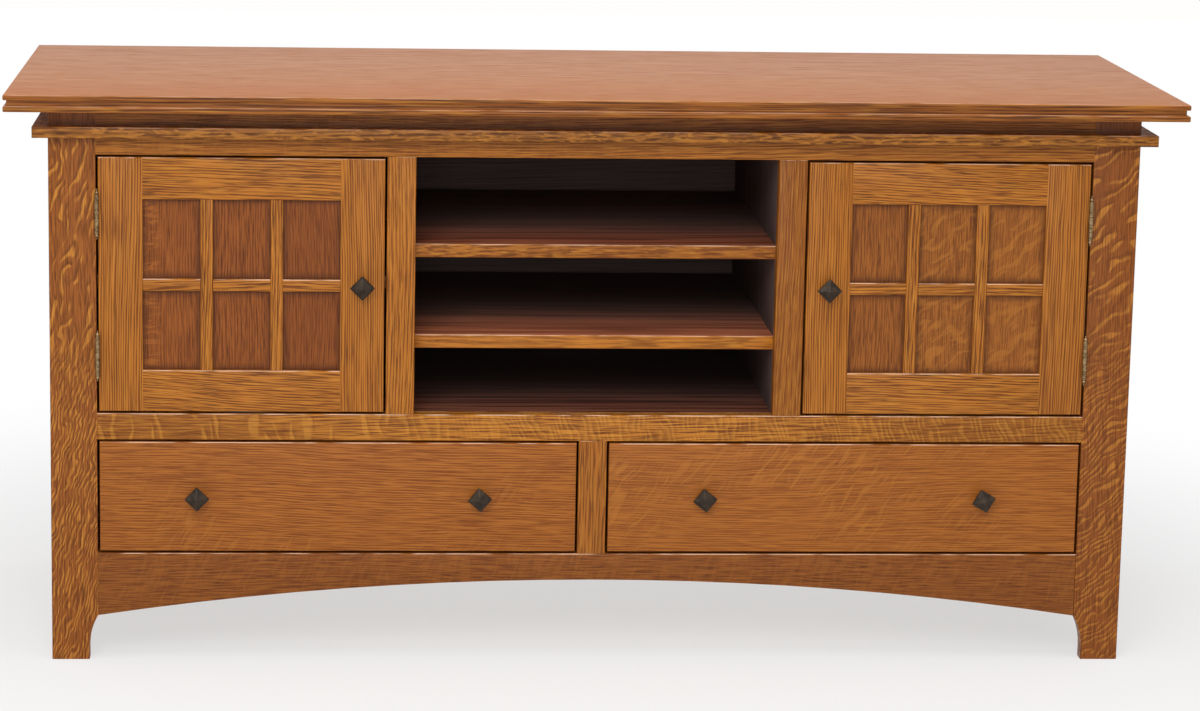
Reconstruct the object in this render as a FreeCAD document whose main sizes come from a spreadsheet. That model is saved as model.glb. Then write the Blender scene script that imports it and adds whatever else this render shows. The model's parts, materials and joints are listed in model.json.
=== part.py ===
import FreeCAD, Part
import math
import os
import re
import Sketcher

# A mission-style oak media console: two inset doors, an open bay and two drawers.
# Millimetres. +X to the right, +Y to the back, +Z up, origin on the floor under the middle of the top.

SIZES = {
    # Top slab, with a square groove round its edge
    "overall_height": 754,
    "top_width": 1524,
    "top_depth": 559,
    "top_thick": 22,
    "upper_lip": 7,
    "edge_groove_height": 7.5,
    "edge_groove_depth": 4.3,
    "side_overhang": 53,
    "front_overhang": 45,
    "back_overhang": 8,
    # Cornice strip below the slab
    "cornice_drop": 22,
    "cornice_thick": 14.5,
    "cornice_projection": 19,
    # Face frame
    "frame_thick": 19,
    "leg_width": 60.5,
    "foot_taper": 11.5,
    "foot_straight": 17,
    "arch_spring": 60,
    "arch_rise": 49,
    "apron_at_crown": 35.5,
    "top_rail_width": 60,
    "middle_rail_width": 35,
    "drawer_opening_height": 152.5,
    "bay_width": 472,
    "mullion_width": 37,
    "tenon_thick": 7,
    "tenon_length": 25,
    "mullion_tenon_length": 14,
    "tenon_shoulder": 6,
    "joint_clearance": 0.1,
    "eased_edge": 1,
    # Ends, back and inner boards
    "end_thick": 19,
    "end_arch_rise": 20,
    "end_panel_thick": 8,
    "panel_groove_depth": 9,
    "panel_play": 0.2,
    "back_thick": 6,
    "back_rabbet": 10,
    "cable_hole_radius": 25,
    "cable_hole_rise": 42,
    "deck_thick": 19,
    "divider_thick": 19,
    "partition_thick": 19,
    "bottom_thick": 12,
    "bottom_clearance": 10,
    # Shelves: those of the bay are housed in grooves, those behind the doors lie on pins
    "shelf_thick": 18,
    "housing_depth": 6,
    "shelf_play": 1,
    "shelf_setback": 1,
    "shelf_back_gap": 20,
    "cabinet_shelf_setback": 12,
    "lower_shelf_rise": 85,
    "upper_shelf_rise": 205.5,
    "cabinet_shelf_rise": 160,
    "pin_radius": 2.5,
    "pin_length": 20,
    "pin_seat": 9,
    "pin_clearance": 0.05,
    # Doors
    "reveal": 3,
    "door_stile_width": 57,
    "door_rail_width": 54.5,
    "door_panel_thick": 6,
    "door_panel_setback": 7,
    "muntin_width": 16,
    "muntin_setback": 1.5,
    # Tipped butt hinges
    "hinge_inset": 73.75,
    "barrel_radius": 3.1,
    "barrel_length": 51,
    "knuckle_gap": 0.3,
    "leaf_gap": 0.6,
    "leaf_depth": 17,
    "hinge_stand_off": 0.3,
    "hinge_pin_radius": 1.6,
    "hinge_pin_clearance": 0.05,
    "tip_length": 5.5,
    "tip_radius": 2.7,
    # Catches
    "catch_width": 46,
    "catch_depth": 16,
    "catch_height": 14,
    "catch_gap": 0.3,
    "strike_thick": 1,
    "strike_width": 38,
    # Pyramid knobs
    "knob_square": 23,
    "knob_edge": 2.5,
    "knob_pyramid": 7.5,
    "knob_taper": 4,
    "knob_back_square": 13,
    "knob_stem_radius": 6,
    "knob_stem_length": 10,
    "knob_tip": 0.8,
    "knob_turn_a": 0.5,
    "knob_turn_b": 5,
    "knob_turn_c": 7,
    "knob_turn_d": 15,
    # Drawers
    "drawer_knob_spread": 370,
    "box_rise": 12,
    "box_headroom": 25.5,
    "box_thick": 12,
    "box_bottom_thick": 6,
    "box_bottom_rise": 10,
    "box_groove_depth": 6,
    "tail_count": 4,
    "tail_gap": 8,
    "tail_slope": 10,
    # Three-member drawer slides
    "slide_thick": 12.7,
    "slide_height": 45,
    "slide_gauge": 1.2,
    "slide_play": 0.4,
    "slide_back_gap": 31,
    "slide_block_margin": 7.5,
}

# Places and sizes that follow from the sheet
LAYOUT = {
    "case_height": "overall_height - top_thick",
    "case_width": "top_width - 2 * side_overhang",
    "case_left": "-case_width / 2",
    "face_y": "front_overhang - top_depth / 2",
    "frame_back_y": "face_y + frame_thick",
    "back_y": "top_depth / 2 - back_overhang",
    "inner_back_y": "back_y - back_thick",
    "inner_depth": "inner_back_y - frame_back_y",
    "inner_left": "case_left + end_thick",
    "inner_width": "case_width - 2 * end_thick",
    "cornice_z": "case_height - cornice_drop - cornice_thick",
    "opening_left": "case_left + leg_width",
    "opening_width": "case_width - 2 * leg_width",
    "opening_top": "case_height - top_rail_width",
    "foot_width": "leg_width - foot_taper",
    "apron_width": "arch_rise + apron_at_crown",
    "drawer_sill": "arch_spring + apron_width",
    "drawer_top": "drawer_sill + drawer_opening_height",
    "deck_z": "drawer_top + middle_rail_width",
    "door_opening_height": "opening_top - deck_z",
    "bay_half": "bay_width / 2",
    "bottom_z": "arch_spring + arch_rise + bottom_clearance",
    "end_stile_width": "leg_width - frame_thick",
    "end_rail_y": "face_y + leg_width",
    "end_rail_length": "back_y - leg_width - end_rail_y",
    "cheek": "(frame_thick - tenon_thick) / 2",
    "end_groove_x": "(end_thick - end_panel_thick) / 2 - panel_play",
    "end_groove_width": "end_panel_thick + 2 * panel_play",
    "pin_front_y": "frame_back_y + end_stile_width / 2",
    "pin_back_y": "back_y - leg_width / 2",
    "shelf_back_y": "inner_back_y - shelf_back_gap",
    "cabinet_right": "-bay_half - divider_thick",
    "door_left": "opening_left + reveal",
    "door_width": "-bay_half - mullion_width - opening_left - 2 * reveal",
    "door_z": "deck_z + reveal",
    "door_height": "door_opening_height - 2 * reveal",
    "pane_width": "door_width - 2 * door_stile_width",
    "pane_height": "door_height - 2 * door_rail_width",
    "door_groove_y": "door_panel_setback - panel_play",
    "door_groove_back": "door_panel_setback + door_panel_thick + panel_play",
    "muntin_thick": "door_panel_setback - muntin_setback",
    "pane_step": "(pane_width + muntin_width) / 3",
    "knob_stile_x": "door_width - door_stile_width",
    "hinge_x": "opening_left + reveal / 2",
    "hinge_y": "face_y - barrel_radius - hinge_stand_off",
    "leaf_thick": "(reveal - leaf_gap) / 2",
    "knuckle": "barrel_length / 3",
    "drawer_left": "opening_left + reveal",
    "drawer_front_width": "-mullion_width / 2 - opening_left - 2 * reveal",
    "drawer_front_height": "drawer_opening_height - 2 * reveal",
    "drawer_middle": "(opening_left - mullion_width / 2) / 2",
    "box_left": "opening_left + slide_thick",
    "box_width": "2 * (drawer_middle - box_left)",
    "box_y": "frame_back_y",
    "box_z": "drawer_sill + box_rise",
    "box_height": "drawer_opening_height - box_rise - box_headroom",
    "box_depth": "slide_length",
    "tail_spread": "box_thick * tan(tail_slope * 1 deg)",
    "slide_length": "inner_depth - slide_back_gap",
    "slide_z": "box_z + box_height / 2",
    "slide_half": "slide_height / 2",
}

doc = FreeCAD.newDocument("media_console")
sheet = doc.addObject("Spreadsheet::Sheet", "Sizes")
for row, (alias, number) in enumerate(SIZES.items(), start=1):
    sheet.set(f"A{row}", alias)
    sheet.set(f"B{row}", str(number))
    sheet.setAlias(f"B{row}", alias)
doc.recompute()

WORD = re.compile(r"[A-Za-z_]\w*")
nodes = []


def formula(text):
    """Writes out a formula of named sizes as an expression on the sheet's cells."""
    def spell(match):
        name = match.group()
        if name in LAYOUT:
            return "(" + formula(LAYOUT[name]) + ")"
        return "Sizes." + name if name in SIZES else name
    return WORD.sub(spell, str(text))


def value(text):
    return float(sheet.evalExpression(formula(text)))


def bind(item, **properties):
    for name, text in properties.items():
        item.setExpression(name, formula(text))


def place(item, x, y, z):
    for axis, text in zip("xyz", (x, y, z)):
        item.setExpression("Placement.Base." + axis, formula(text))


def piece(name, x, y, z):
    """A body whose own origin stands at the given place."""
    body = doc.addObject("PartDesign::Body", name)
    place(body, x, y, z)
    return body


def node(name, item):
    """Names the object that becomes one sub-part."""
    item.Label = name
    nodes.append(item)
    return item


def mirror(name, source, middle="0"):
    copy = doc.addObject("Part::Mirroring", name)
    copy.Source = source
    copy.Normal = FreeCAD.Vector(1, 0, 0)
    copy.setExpression("Base.x", formula(middle))
    return copy


def group(name, items):
    bundle = doc.addObject("Part::Compound", name)
    bundle.Links = items
    return bundle


def new_sketch(body, plane, start):
    """A sketch on one of the body's origin planes, moved along the third axis to start."""
    sketch = body.newObject("Sketcher::SketchObject", "Outline")
    support = [part for part in body.Origin.OriginFeatures if part.Role == plane + "_Plane"]
    sketch.AttachmentSupport = [(support[0], "")]
    sketch.MapMode = "FlatFace"
    sign = "-" if plane == "XZ" else ""
    sketch.setExpression("AttachmentOffset.Base.z", formula(f"{sign}({start})"))
    return sketch


def fix_point(sketch, item, corner, point):
    for kind, text in zip(("DistanceX", "DistanceY"), point):
        index = sketch.addConstraint(Sketcher.Constraint(kind, -1, 1, item, corner, value(text)))
        sketch.setExpression(f"Constraints[{index}]", formula(text))


def arc_between(first, last, radius):
    """An arc from first to last; its middle lies to the left of that way if radius is above zero."""
    chord = last - first
    side = FreeCAD.Vector(-chord.y, chord.x, 0).normalize()
    reach = math.sqrt(radius * radius - chord.Length * chord.Length / 4)
    centre = (first + last) / 2 + side * math.copysign(reach, radius)
    ends = [math.atan2(point.y - centre.y, point.x - centre.x) for point in (first, last)]
    if radius < 0:
        ends.reverse()
    return Part.ArcOfCircle(Part.Circle(centre, FreeCAD.Vector(0, 0, 1), abs(radius)), *ends)


def outline(body, plane, points, start="0", arcs=None):
    """A closed outline through corner formulas; arcs gives the radius of each side that is round."""
    arcs = arcs or {}
    sketch = new_sketch(body, plane, start)
    corners = [FreeCAD.Vector(value(x), value(y), 0) for x, y in points]
    count = len(corners)
    ends = []
    for side in range(count):
        first, last = corners[side], corners[(side + 1) % count]
        if side in arcs:
            radius = value(arcs[side])
            sketch.addGeometry(arc_between(first, last, radius), False)
            ends.append((1, 2) if radius > 0 else (2, 1))
        else:
            sketch.addGeometry(Part.LineSegment(first, last), False)
            ends.append((1, 2))
    for side in range(count):
        following = (side + 1) % count
        sketch.addConstraint(
            Sketcher.Constraint("Coincident", side, ends[side][1], following, ends[following][0]))
    for side, point in enumerate(points):
        fix_point(sketch, side, ends[side][0], point)
    for side, text in arcs.items():
        index = sketch.addConstraint(Sketcher.Constraint("Radius", side, abs(value(text))))
        sketch.setExpression(f"Constraints[{index}]", formula(f"abs({text})"))
    return sketch


def rectangle(body, plane, left, bottom, right, top, start="0"):
    return outline(body, plane, [(left, bottom), (right, bottom), (right, top), (left, top)], start)


def circle(body, plane, x, y, radius, start="0"):
    sketch = new_sketch(body, plane, start)
    centre = FreeCAD.Vector(value(x), value(y), 0)
    sketch.addGeometry(Part.Circle(centre, FreeCAD.Vector(0, 0, 1), value(radius)), False)
    fix_point(sketch, 0, 3, (x, y))
    index = sketch.addConstraint(Sketcher.Constraint("Radius", 0, value(radius)))
    sketch.setExpression(f"Constraints[{index}]", formula(radius))
    return sketch


def faces_back(sketch):
    return sketch.AttachmentSupport[0][0].Role == "XZ_Plane"


def pad(body, sketch, length):
    """Raises an outline along the positive axis across its plane."""
    feature = body.newObject("PartDesign::Pad", "Pad")
    feature.Profile = sketch
    feature.Reversed = faces_back(sketch)
    bind(feature, Length=length)
    return feature


def pocket(body, sketch, length):
    """Cuts an outline along the positive axis across its plane."""
    feature = body.newObject("PartDesign::Pocket", "Pocket")
    feature.Profile = sketch
    feature.Reversed = not faces_back(sketch)
    bind(feature, Length=length)
    return feature


def repeat(body, feature, sketch, length, count):
    """Repeats a feature upward along the sketch's own vertical axis."""
    pattern = body.newObject("PartDesign::LinearPattern", "Pattern")
    pattern.Originals = [feature]
    pattern.Direction = (sketch, ["V_Axis"])
    bind(pattern, Length=length, Occurrences=count)
    body.Tip = pattern
    return pattern


def ease(body, chosen):
    """Planes a small bevel on the edges whose two ends and middle all satisfy chosen(x, y, z)."""
    doc.recompute()
    base = body.Tip
    names = []
    for index, edge in enumerate(base.Shape.Edges, start=1):
        middle = edge.valueAt((edge.FirstParameter + edge.LastParameter) / 2)
        points = [vertex.Point for vertex in edge.Vertexes] + [middle]
        if all(chosen(*point) for point in points):
            names.append(f"Edge{index}")
    feature = body.newObject("PartDesign::Chamfer", "Eased")
    feature.Base = (base, names)
    bind(feature, Size="eased_edge")


def near(number, text):
    return abs(number - value(text)) < 1e-4


def board(name, place_at, size):
    """A plain rectangular board."""
    body = piece(name, *place_at)
    width, depth, height = size
    pad(body, rectangle(body, "XY", "0", "0", width, depth), height)
    return body


def top_slab():
    body = piece("top_slab", "-top_width / 2", "-top_depth / 2", "case_height")
    pad(body, rectangle(body, "XY", "0", "0", "top_width", "top_depth"), "top_thick")
    channel = [("0", "0"), ("top_width", "0"), ("top_width", "top_depth"),
               ("top_width - edge_groove_depth", "top_depth"),
               ("top_width - edge_groove_depth", "edge_groove_depth"),
               ("edge_groove_depth", "edge_groove_depth"),
               ("edge_groove_depth", "top_depth"), ("0", "top_depth")]
    lower_lip = "top_thick - upper_lip - edge_groove_height"
    pocket(body, outline(body, "XY", channel, lower_lip), "edge_groove_height")
    lip_edges = ("0", lower_lip, "top_thick - upper_lip", "top_thick")

    for side in ("0", "top_width"):
        ease(body, lambda x, y, z: near(x, side) and any(near(z, level) for level in lip_edges))
    ease(body, lambda x, y, z: near(y, "0") and any(near(z, level) for level in lip_edges))
    node("top_slab", body)


def cornice():
    reach = "cornice_projection"
    left, front = f"case_left - {reach}", f"face_y - {reach}"
    length = f"(case_width + 2 * {reach})"
    body = piece("cornice_front", left, front, "cornice_z")
    mitred = [("0", "0"), (length, "0"), (f"{length} - {reach}", reach), (reach, reach)]
    pad(body, outline(body, "XY", mitred), "cornice_thick")
    ease(body, lambda x, y, z: near(y, "0") and (near(z, "0") or near(z, "cornice_thick")))
    node("cornice_front", body)

    side = piece("cornice_left", left, front, "cornice_z")
    depth = f"back_y - face_y + {reach}"
    mitred = [("0", "0"), (reach, reach), (reach, depth), ("0", depth)]
    pad(side, outline(side, "XY", mitred), "cornice_thick")
    node("cornice_returns", group("cornice_returns", [side, mirror("cornice_right", side)]))


def foot_radius():
    """Radius of the curve that runs from the straight foot out to the full width of the leg."""
    swell, climb = "(leg_width - foot_width)", "(arch_spring - foot_straight)"
    return f"({swell} ^ 2 + {climb} ^ 2) / (2 * {swell})"


def mortise(body, bottom, top):
    """A mortise in the inner edge of a leg, for a rail's tenon between bottom and top."""
    play = "joint_clearance"
    slot = rectangle(body, "YZ", f"cheek - {play}", f"{bottom} + tenon_shoulder - {play}",
                     f"cheek + tenon_thick + {play}", f"{top} - tenon_shoulder + {play}",
                     f"leg_width - tenon_length - {play}")
    pocket(body, slot, f"tenon_length + {play}")


def front_legs():
    body = piece("left_front_leg", "case_left", "face_y", "0")
    shape = [("0", "0"), ("foot_width", "0"), ("foot_width", "foot_straight"), ("leg_width", "arch_spring"),
             ("leg_width", "case_height"), ("0", "case_height")]
    pad(body, outline(body, "XZ", shape, arcs={2: f"-{foot_radius()}"}), "frame_thick")
    mortise(body, "arch_spring", "drawer_sill")
    mortise(body, "drawer_top", "deck_z")
    mortise(body, "opening_top", "case_height")
    ease(body, lambda x, y, z: near(x, "0") and near(y, "0"))
    node("left_front_leg", body)
    node("right_front_leg", mirror("right_front_leg", body))


def rail_tenons(body, height):
    slab = rectangle(body, "YZ", "cheek", "tenon_shoulder",
                     "cheek + tenon_thick", f"{height} - tenon_shoulder", "-tenon_length")
    pad(body, slab, "opening_width + 2 * tenon_length")


def mullion_mortise(body, middle, bottom):
    """A mortise for a mullion's tenon, upward from bottom, centred on middle."""
    half = "(mullion_width / 2 - tenon_shoulder + joint_clearance)"
    slot = rectangle(body, "XY", f"{middle} - {half}", "cheek - joint_clearance",
                     f"{middle} + {half}", "cheek + tenon_thick + joint_clearance", bottom)
    pocket(body, slot, "mullion_tenon_length + joint_clearance")


def face_rails():
    middle = "opening_width / 2"
    beside_bay = [f"{middle} {sign} (bay_half + mullion_width / 2)" for sign in "-+"]
    depth = "(mullion_tenon_length + joint_clearance)"

    def rail(name, bottom, height):
        body = piece(name, "opening_left", "face_y", bottom)
        pad(body, rectangle(body, "XZ", "0", "0", "opening_width", height), "frame_thick")
        rail_tenons(body, height)
        return body
    top = rail("top_rail", "opening_top", "top_rail_width")
    for where in beside_bay:
        mullion_mortise(top, where, "0")
    ease(top, lambda x, y, z: near(y, "0") and near(z, "0"))
    node("top_rail", top)

    divide = rail("middle_rail", "drawer_top", "middle_rail_width")
    for where in beside_bay:
        mullion_mortise(divide, where, f"middle_rail_width - {depth}")
    mullion_mortise(divide, middle, "0")
    ease(divide, lambda x, y, z: near(y, "0") and (near(z, "0") or near(z, "middle_rail_width")))
    node("middle_rail", divide)

    apron = piece("arched_apron", "opening_left", "face_y", "arch_spring")
    radius = f"(({middle}) ^ 2 + arch_rise ^ 2) / (2 * arch_rise)"
    shape = [("0", "0"), ("opening_width", "0"), ("opening_width", "apron_width"), ("0", "apron_width")]
    pad(apron, outline(apron, "XZ", shape, arcs={0: f"-{radius}"}), "frame_thick")
    for start in ("-tenon_length", "opening_width"):
        tongue = rectangle(apron, "YZ", "cheek", "tenon_shoulder", "cheek + tenon_thick",
                           "apron_width - tenon_shoulder", start)
        pad(apron, tongue, "tenon_length")
    mullion_mortise(apron, middle, f"apron_width - {depth}")
    crown = value("arch_rise")
    ease(apron, lambda x, y, z: near(y, "0") and (near(z, "apron_width") or (z < crown + 1 and 0 <= x)))
    node("arched_apron", apron)


def mullion(name, left, bottom, height):
    body = piece(name, left, "face_y", bottom)
    pad(body, rectangle(body, "XY", "0", "0", "mullion_width", "frame_thick"), height)
    tongue = rectangle(body, "XY", "tenon_shoulder", "cheek", "mullion_width - tenon_shoulder",
                       "cheek + tenon_thick", "-mullion_tenon_length")
    pad(body, tongue, f"{height} + 2 * mullion_tenon_length")
    ease(body, lambda x, y, z: near(y, "0") and (near(x, "0") or near(x, "mullion_width")))
    return body


def mullions():
    left = mullion("left_mullion", "-bay_half - mullion_width", "deck_z", "door_opening_height")
    middle = mullion("drawer_mullion", "-mullion_width / 2", "drawer_sill", "drawer_opening_height")
    node("mullions", group("mullions", [left, mirror("right_mullion", left), middle]))


def pin_hole(body, y, z, start):
    """A blind hole across X for a shelf pin, its middle one pin radius below the shelf."""
    hole = circle(body, "YZ", y, z, "pin_radius + pin_clearance", start)
    pocket(body, hole, "pin_seat + pin_clearance")


def end_frames():
    stile = piece("left_end_stile", "case_left", "frame_back_y", "0")
    inner_foot = "foot_width - frame_thick"
    shape = [("0", "0"), (inner_foot, "0"), (inner_foot, "foot_straight"), ("end_stile_width", "arch_spring"),
             ("end_stile_width", "case_height"), ("0", "case_height")]
    pad(stile, outline(stile, "YZ", shape, arcs={2: f"-{foot_radius()}"}), "end_thick")
    groove_foot = "arch_spring + tenon_shoulder"
    slot = rectangle(stile, "XY", "end_groove_x", "end_stile_width - panel_groove_depth",
                     "end_groove_x + end_groove_width", "end_stile_width", groove_foot)
    pocket(stile, slot, f"case_height - {groove_foot}")
    cabinet_pin_z = "deck_z + cabinet_shelf_rise - pin_radius"
    hole_start = "end_thick - pin_seat - pin_clearance"
    pin_hole(stile, "pin_front_y - frame_back_y", cabinet_pin_z, hole_start)
    node("left_end_stile", stile)
    node("right_end_stile", mirror("right_end_stile", stile))

    leg = piece("left_rear_leg", "case_left", "back_y - leg_width", "0")
    toe = "leg_width - foot_width"
    shape = [(toe, "0"), ("leg_width", "0"), ("leg_width", "case_height"), ("0", "case_height"),
             ("0", "arch_spring"), (toe, "foot_straight")]
    pad(leg, outline(leg, "YZ", shape, arcs={4: f"-{foot_radius()}"}), "end_thick")
    slot = rectangle(leg, "XY", "end_groove_x", "0", "end_groove_x + end_groove_width",
                     "panel_groove_depth", groove_foot)
    pocket(leg, slot, f"case_height - {groove_foot}")
    rabbet = rectangle(leg, "XY", "end_thick - back_rabbet", "leg_width - back_thick",
                       "end_thick", "leg_width", "bottom_z")
    pocket(leg, rabbet, "case_height - bottom_z")
    pin_hole(leg, "pin_back_y - back_y + leg_width", cabinet_pin_z, hole_start)
    node("left_rear_leg", leg)
    node("right_rear_leg", mirror("right_rear_leg", leg))
    end_rails()


def end_rails():
    reach = "(panel_groove_depth - joint_clearance)"
    tenon_left = "end_groove_x + joint_clearance"
    tenon_right = "end_groove_x + end_groove_width - joint_clearance"

    top = piece("left_end_top_rail", "case_left", "end_rail_y", "opening_top")
    section = [("0", "0"), ("end_groove_x", "0"), ("end_groove_x", "panel_groove_depth"),
               ("end_groove_x + end_groove_width", "panel_groove_depth"),
               ("end_groove_x + end_groove_width", "0"), ("end_thick", "0"),
               ("end_thick", "top_rail_width"), ("0", "top_rail_width")]
    pad(top, outline(top, "XZ", section), "end_rail_length")
    tongue = rectangle(top, "XZ", tenon_left, "panel_groove_depth",
                       tenon_right, "top_rail_width", f"-{reach}")
    pad(top, tongue, f"end_rail_length + 2 * {reach}")

    bottom = piece("left_end_bottom_rail", "case_left", "end_rail_y", "arch_spring")
    half = "(end_rail_length / 2)"
    radius = f"({half} ^ 2 + end_arch_rise ^ 2) / (2 * end_arch_rise)"
    shape = [("0", "0"), ("end_rail_length", "0"), ("end_rail_length", "apron_width"), ("0", "apron_width")]
    pad(bottom, outline(bottom, "YZ", shape, arcs={0: f"-{radius}"}), "end_thick")
    for start in (f"-{reach}", "end_rail_length"):
        tongue = rectangle(bottom, "XZ", tenon_left, "tenon_shoulder + joint_clearance", tenon_right,
                           "apron_width - panel_groove_depth", start)
        pad(bottom, tongue, reach)
    slot = rectangle(bottom, "XZ", "end_groove_x", "apron_width - panel_groove_depth",
                     "end_groove_x + end_groove_width", "apron_width")
    pocket(bottom, slot, "end_rail_length")
    rails = node("left_end_rails", group("left_end_rails", [top, bottom]))
    node("right_end_rails", mirror("right_end_rails", rails))

    corner = ("case_left + end_groove_x + panel_play", f"end_rail_y - {reach}", f"drawer_sill - {reach}")
    height = f"opening_top - drawer_sill + 2 * {reach}"
    panel = board("left_end_panel", corner, ("end_panel_thick", f"end_rail_length + 2 * {reach}", height))
    node("left_end_panel", panel)
    node("right_end_panel", mirror("right_end_panel", panel))


def back_panel():
    half = "(inner_width / 2 + back_rabbet - joint_clearance)"
    body = piece("back_panel", f"-{half}", "inner_back_y", "bottom_z")
    height = "case_height - bottom_z"
    pad(body, rectangle(body, "XZ", "0", "0", f"2 * {half}", height), "back_thick")
    beside = "(inner_left + cabinet_right) / 2"
    rise = "deck_z + cable_hole_rise - bottom_z"
    for middle in (beside, "0", f"-({beside})"):
        pocket(body, circle(body, "XZ", f"{half} + {middle}", rise, "cable_hole_radius"), "back_thick")
    node("back_panel", body)


def inner_boards():
    deck_bottom = "deck_z - deck_thick"
    deck = board("cabinet_deck", ("inner_left", "frame_back_y", deck_bottom),
                 ("inner_width", "inner_depth", "deck_thick"))
    node("cabinet_deck", deck)
    bottom = board("bottom_panel", ("inner_left", "frame_back_y", "bottom_z"),
                   ("inner_width", "inner_depth", "bottom_thick"))
    node("bottom_panel", bottom)
    partition_z = "bottom_z + bottom_thick"
    partition = board("drawer_partition", ("-partition_thick / 2", "frame_back_y", partition_z),
                      ("partition_thick", "inner_depth", f"{deck_bottom} - ({partition_z})"))
    node("drawer_partition", partition)

    divider = board("left_divider", ("-bay_half - divider_thick", "frame_back_y", "deck_z"),
                    ("divider_thick", "inner_depth", "case_height - deck_z"))
    for rise in ("lower_shelf_rise", "upper_shelf_rise"):
        housing = rectangle(divider, "YZ", "0", rise, "inner_depth", f"{rise} + shelf_thick + panel_play",
                            "divider_thick - housing_depth")
        pocket(divider, housing, "housing_depth")
    for y in ("pin_front_y - frame_back_y", "pin_back_y - frame_back_y"):
        pin_hole(divider, y, "cabinet_shelf_rise - pin_radius", "0")
    node("bay_dividers", group("bay_dividers", [divider, mirror("right_divider", divider)]))


def shelf(name, left, width, setback, rise):
    """A shelf with room for cables behind it."""
    front = f"(frame_back_y + {setback})"
    body = board(name, (left, front, f"deck_z + {rise}"),
                 (width, f"shelf_back_y - {front}", "shelf_thick"))
    ease(body, lambda x, y, z: near(y, "0") and (near(z, "0") or near(z, "shelf_thick")))
    return body


def shelves():
    reach = "(bay_half + housing_depth - joint_clearance)"
    lower = shelf("lower_shelf", f"-{reach}", f"2 * {reach}", "shelf_setback", "lower_shelf_rise")
    upper = shelf("upper_shelf", f"-{reach}", f"2 * {reach}", "shelf_setback", "upper_shelf_rise")
    node("bay_shelves", group("bay_shelves", [lower, upper]))
    cabinet = shelf("left_cabinet_shelf", "inner_left + shelf_play",
                    "cabinet_right - (inner_left) - 2 * shelf_play",
                    "cabinet_shelf_setback", "cabinet_shelf_rise")
    node("cabinet_shelves", group("cabinet_shelves", [cabinet, mirror("right_cabinet_shelf", cabinet)]))


def shelf_pins():
    pins = []
    for left in ("inner_left - pin_seat", "cabinet_right + pin_seat - pin_length"):
        for y in ("pin_front_y", "pin_back_y"):
            body = piece("shelf_pin", left, y, "deck_z + cabinet_shelf_rise - pin_radius")
            pad(body, circle(body, "YZ", "0", "0", "pin_radius"), "pin_length")
            pins += [body, mirror("shelf_pin_right", body)]
    node("shelf_pins", group("shelf_pins", pins))


def hinge_leaf(name, z, side, knuckles):
    """A leaf and its knuckles round the hinge axis; side is -1 on the leg and 1 on the door."""
    body = piece(name, "hinge_x", "hinge_y", z)
    outer, inner = f"{side} * reveal / 2", f"{side} * (reveal / 2 - leaf_thick)"
    left, right = (outer, inner) if side < 0 else (inner, outer)
    front = "barrel_radius + hinge_stand_off"
    plate = rectangle(body, "XY", left, front, right, f"{front} + leaf_depth", "-barrel_length / 2")
    pad(body, plate, "barrel_length")
    for number in knuckles:
        bottom = f"{number} * knuckle - barrel_length / 2 + knuckle_gap / 2"
        length = "knuckle - knuckle_gap"
        pad(body, rectangle(body, "XY", left, "0", right, f"{front} + leaf_thick", bottom), length)
        pad(body, circle(body, "XY", "0", "0", "barrel_radius", bottom), length)
    bore = circle(body, "XY", "0", "0", "hinge_pin_radius + hinge_pin_clearance", "-barrel_length / 2")
    pocket(body, bore, "barrel_length")
    return body


def hinge_pin(name, z):
    """The loose pin, with a button tip at each end."""
    body = piece(name, "hinge_x", "hinge_y", z)
    half, end = "barrel_length / 2", "(barrel_length / 2 + tip_length)"
    profile = [("0", f"-{end}"), ("tip_radius", f"-{end}"), ("tip_radius", f"-{half}"),
               ("hinge_pin_radius", f"-{half}"), ("hinge_pin_radius", half),
               ("tip_radius", half), ("tip_radius", end), ("0", end)]
    sketch = outline(body, "XZ", profile)
    turned = body.newObject("PartDesign::Revolution", "Turned")
    turned.Profile = sketch
    turned.ReferenceAxis = (sketch, ["V_Axis"])
    turned.Angle = 360
    return body


def hinges():
    leg_leaves, door_leaves, pins = [], [], []
    for z in ("door_z + hinge_inset", "door_z + door_height - hinge_inset"):
        leg_leaves.append(hinge_leaf("leg_leaf", z, -1, (0, 2)))
        door_leaves.append(hinge_leaf("door_leaf", z, 1, (1,)))
        pins.append(hinge_pin("hinge_pin", z))
    node("hinge_leg_leaves", group("hinge_leg_leaves", leg_leaves + [mirror("leg_leaf_right", leaf)
                                                                      for leaf in leg_leaves]))
    node("hinge_pins", group("hinge_pins", pins + [mirror("hinge_pin_right", pin) for pin in pins]))
    leaves = node("left_door_hinge_leaves", group("left_door_hinge_leaves", door_leaves))
    node("right_door_hinge_leaves", mirror("right_door_hinge_leaves", leaves))


def both_sides(name, item):
    """One node on the left and its mirror image on the right."""
    left = node("left_" + name, item)
    node("right_" + name, mirror("right_" + name, left))


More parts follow.
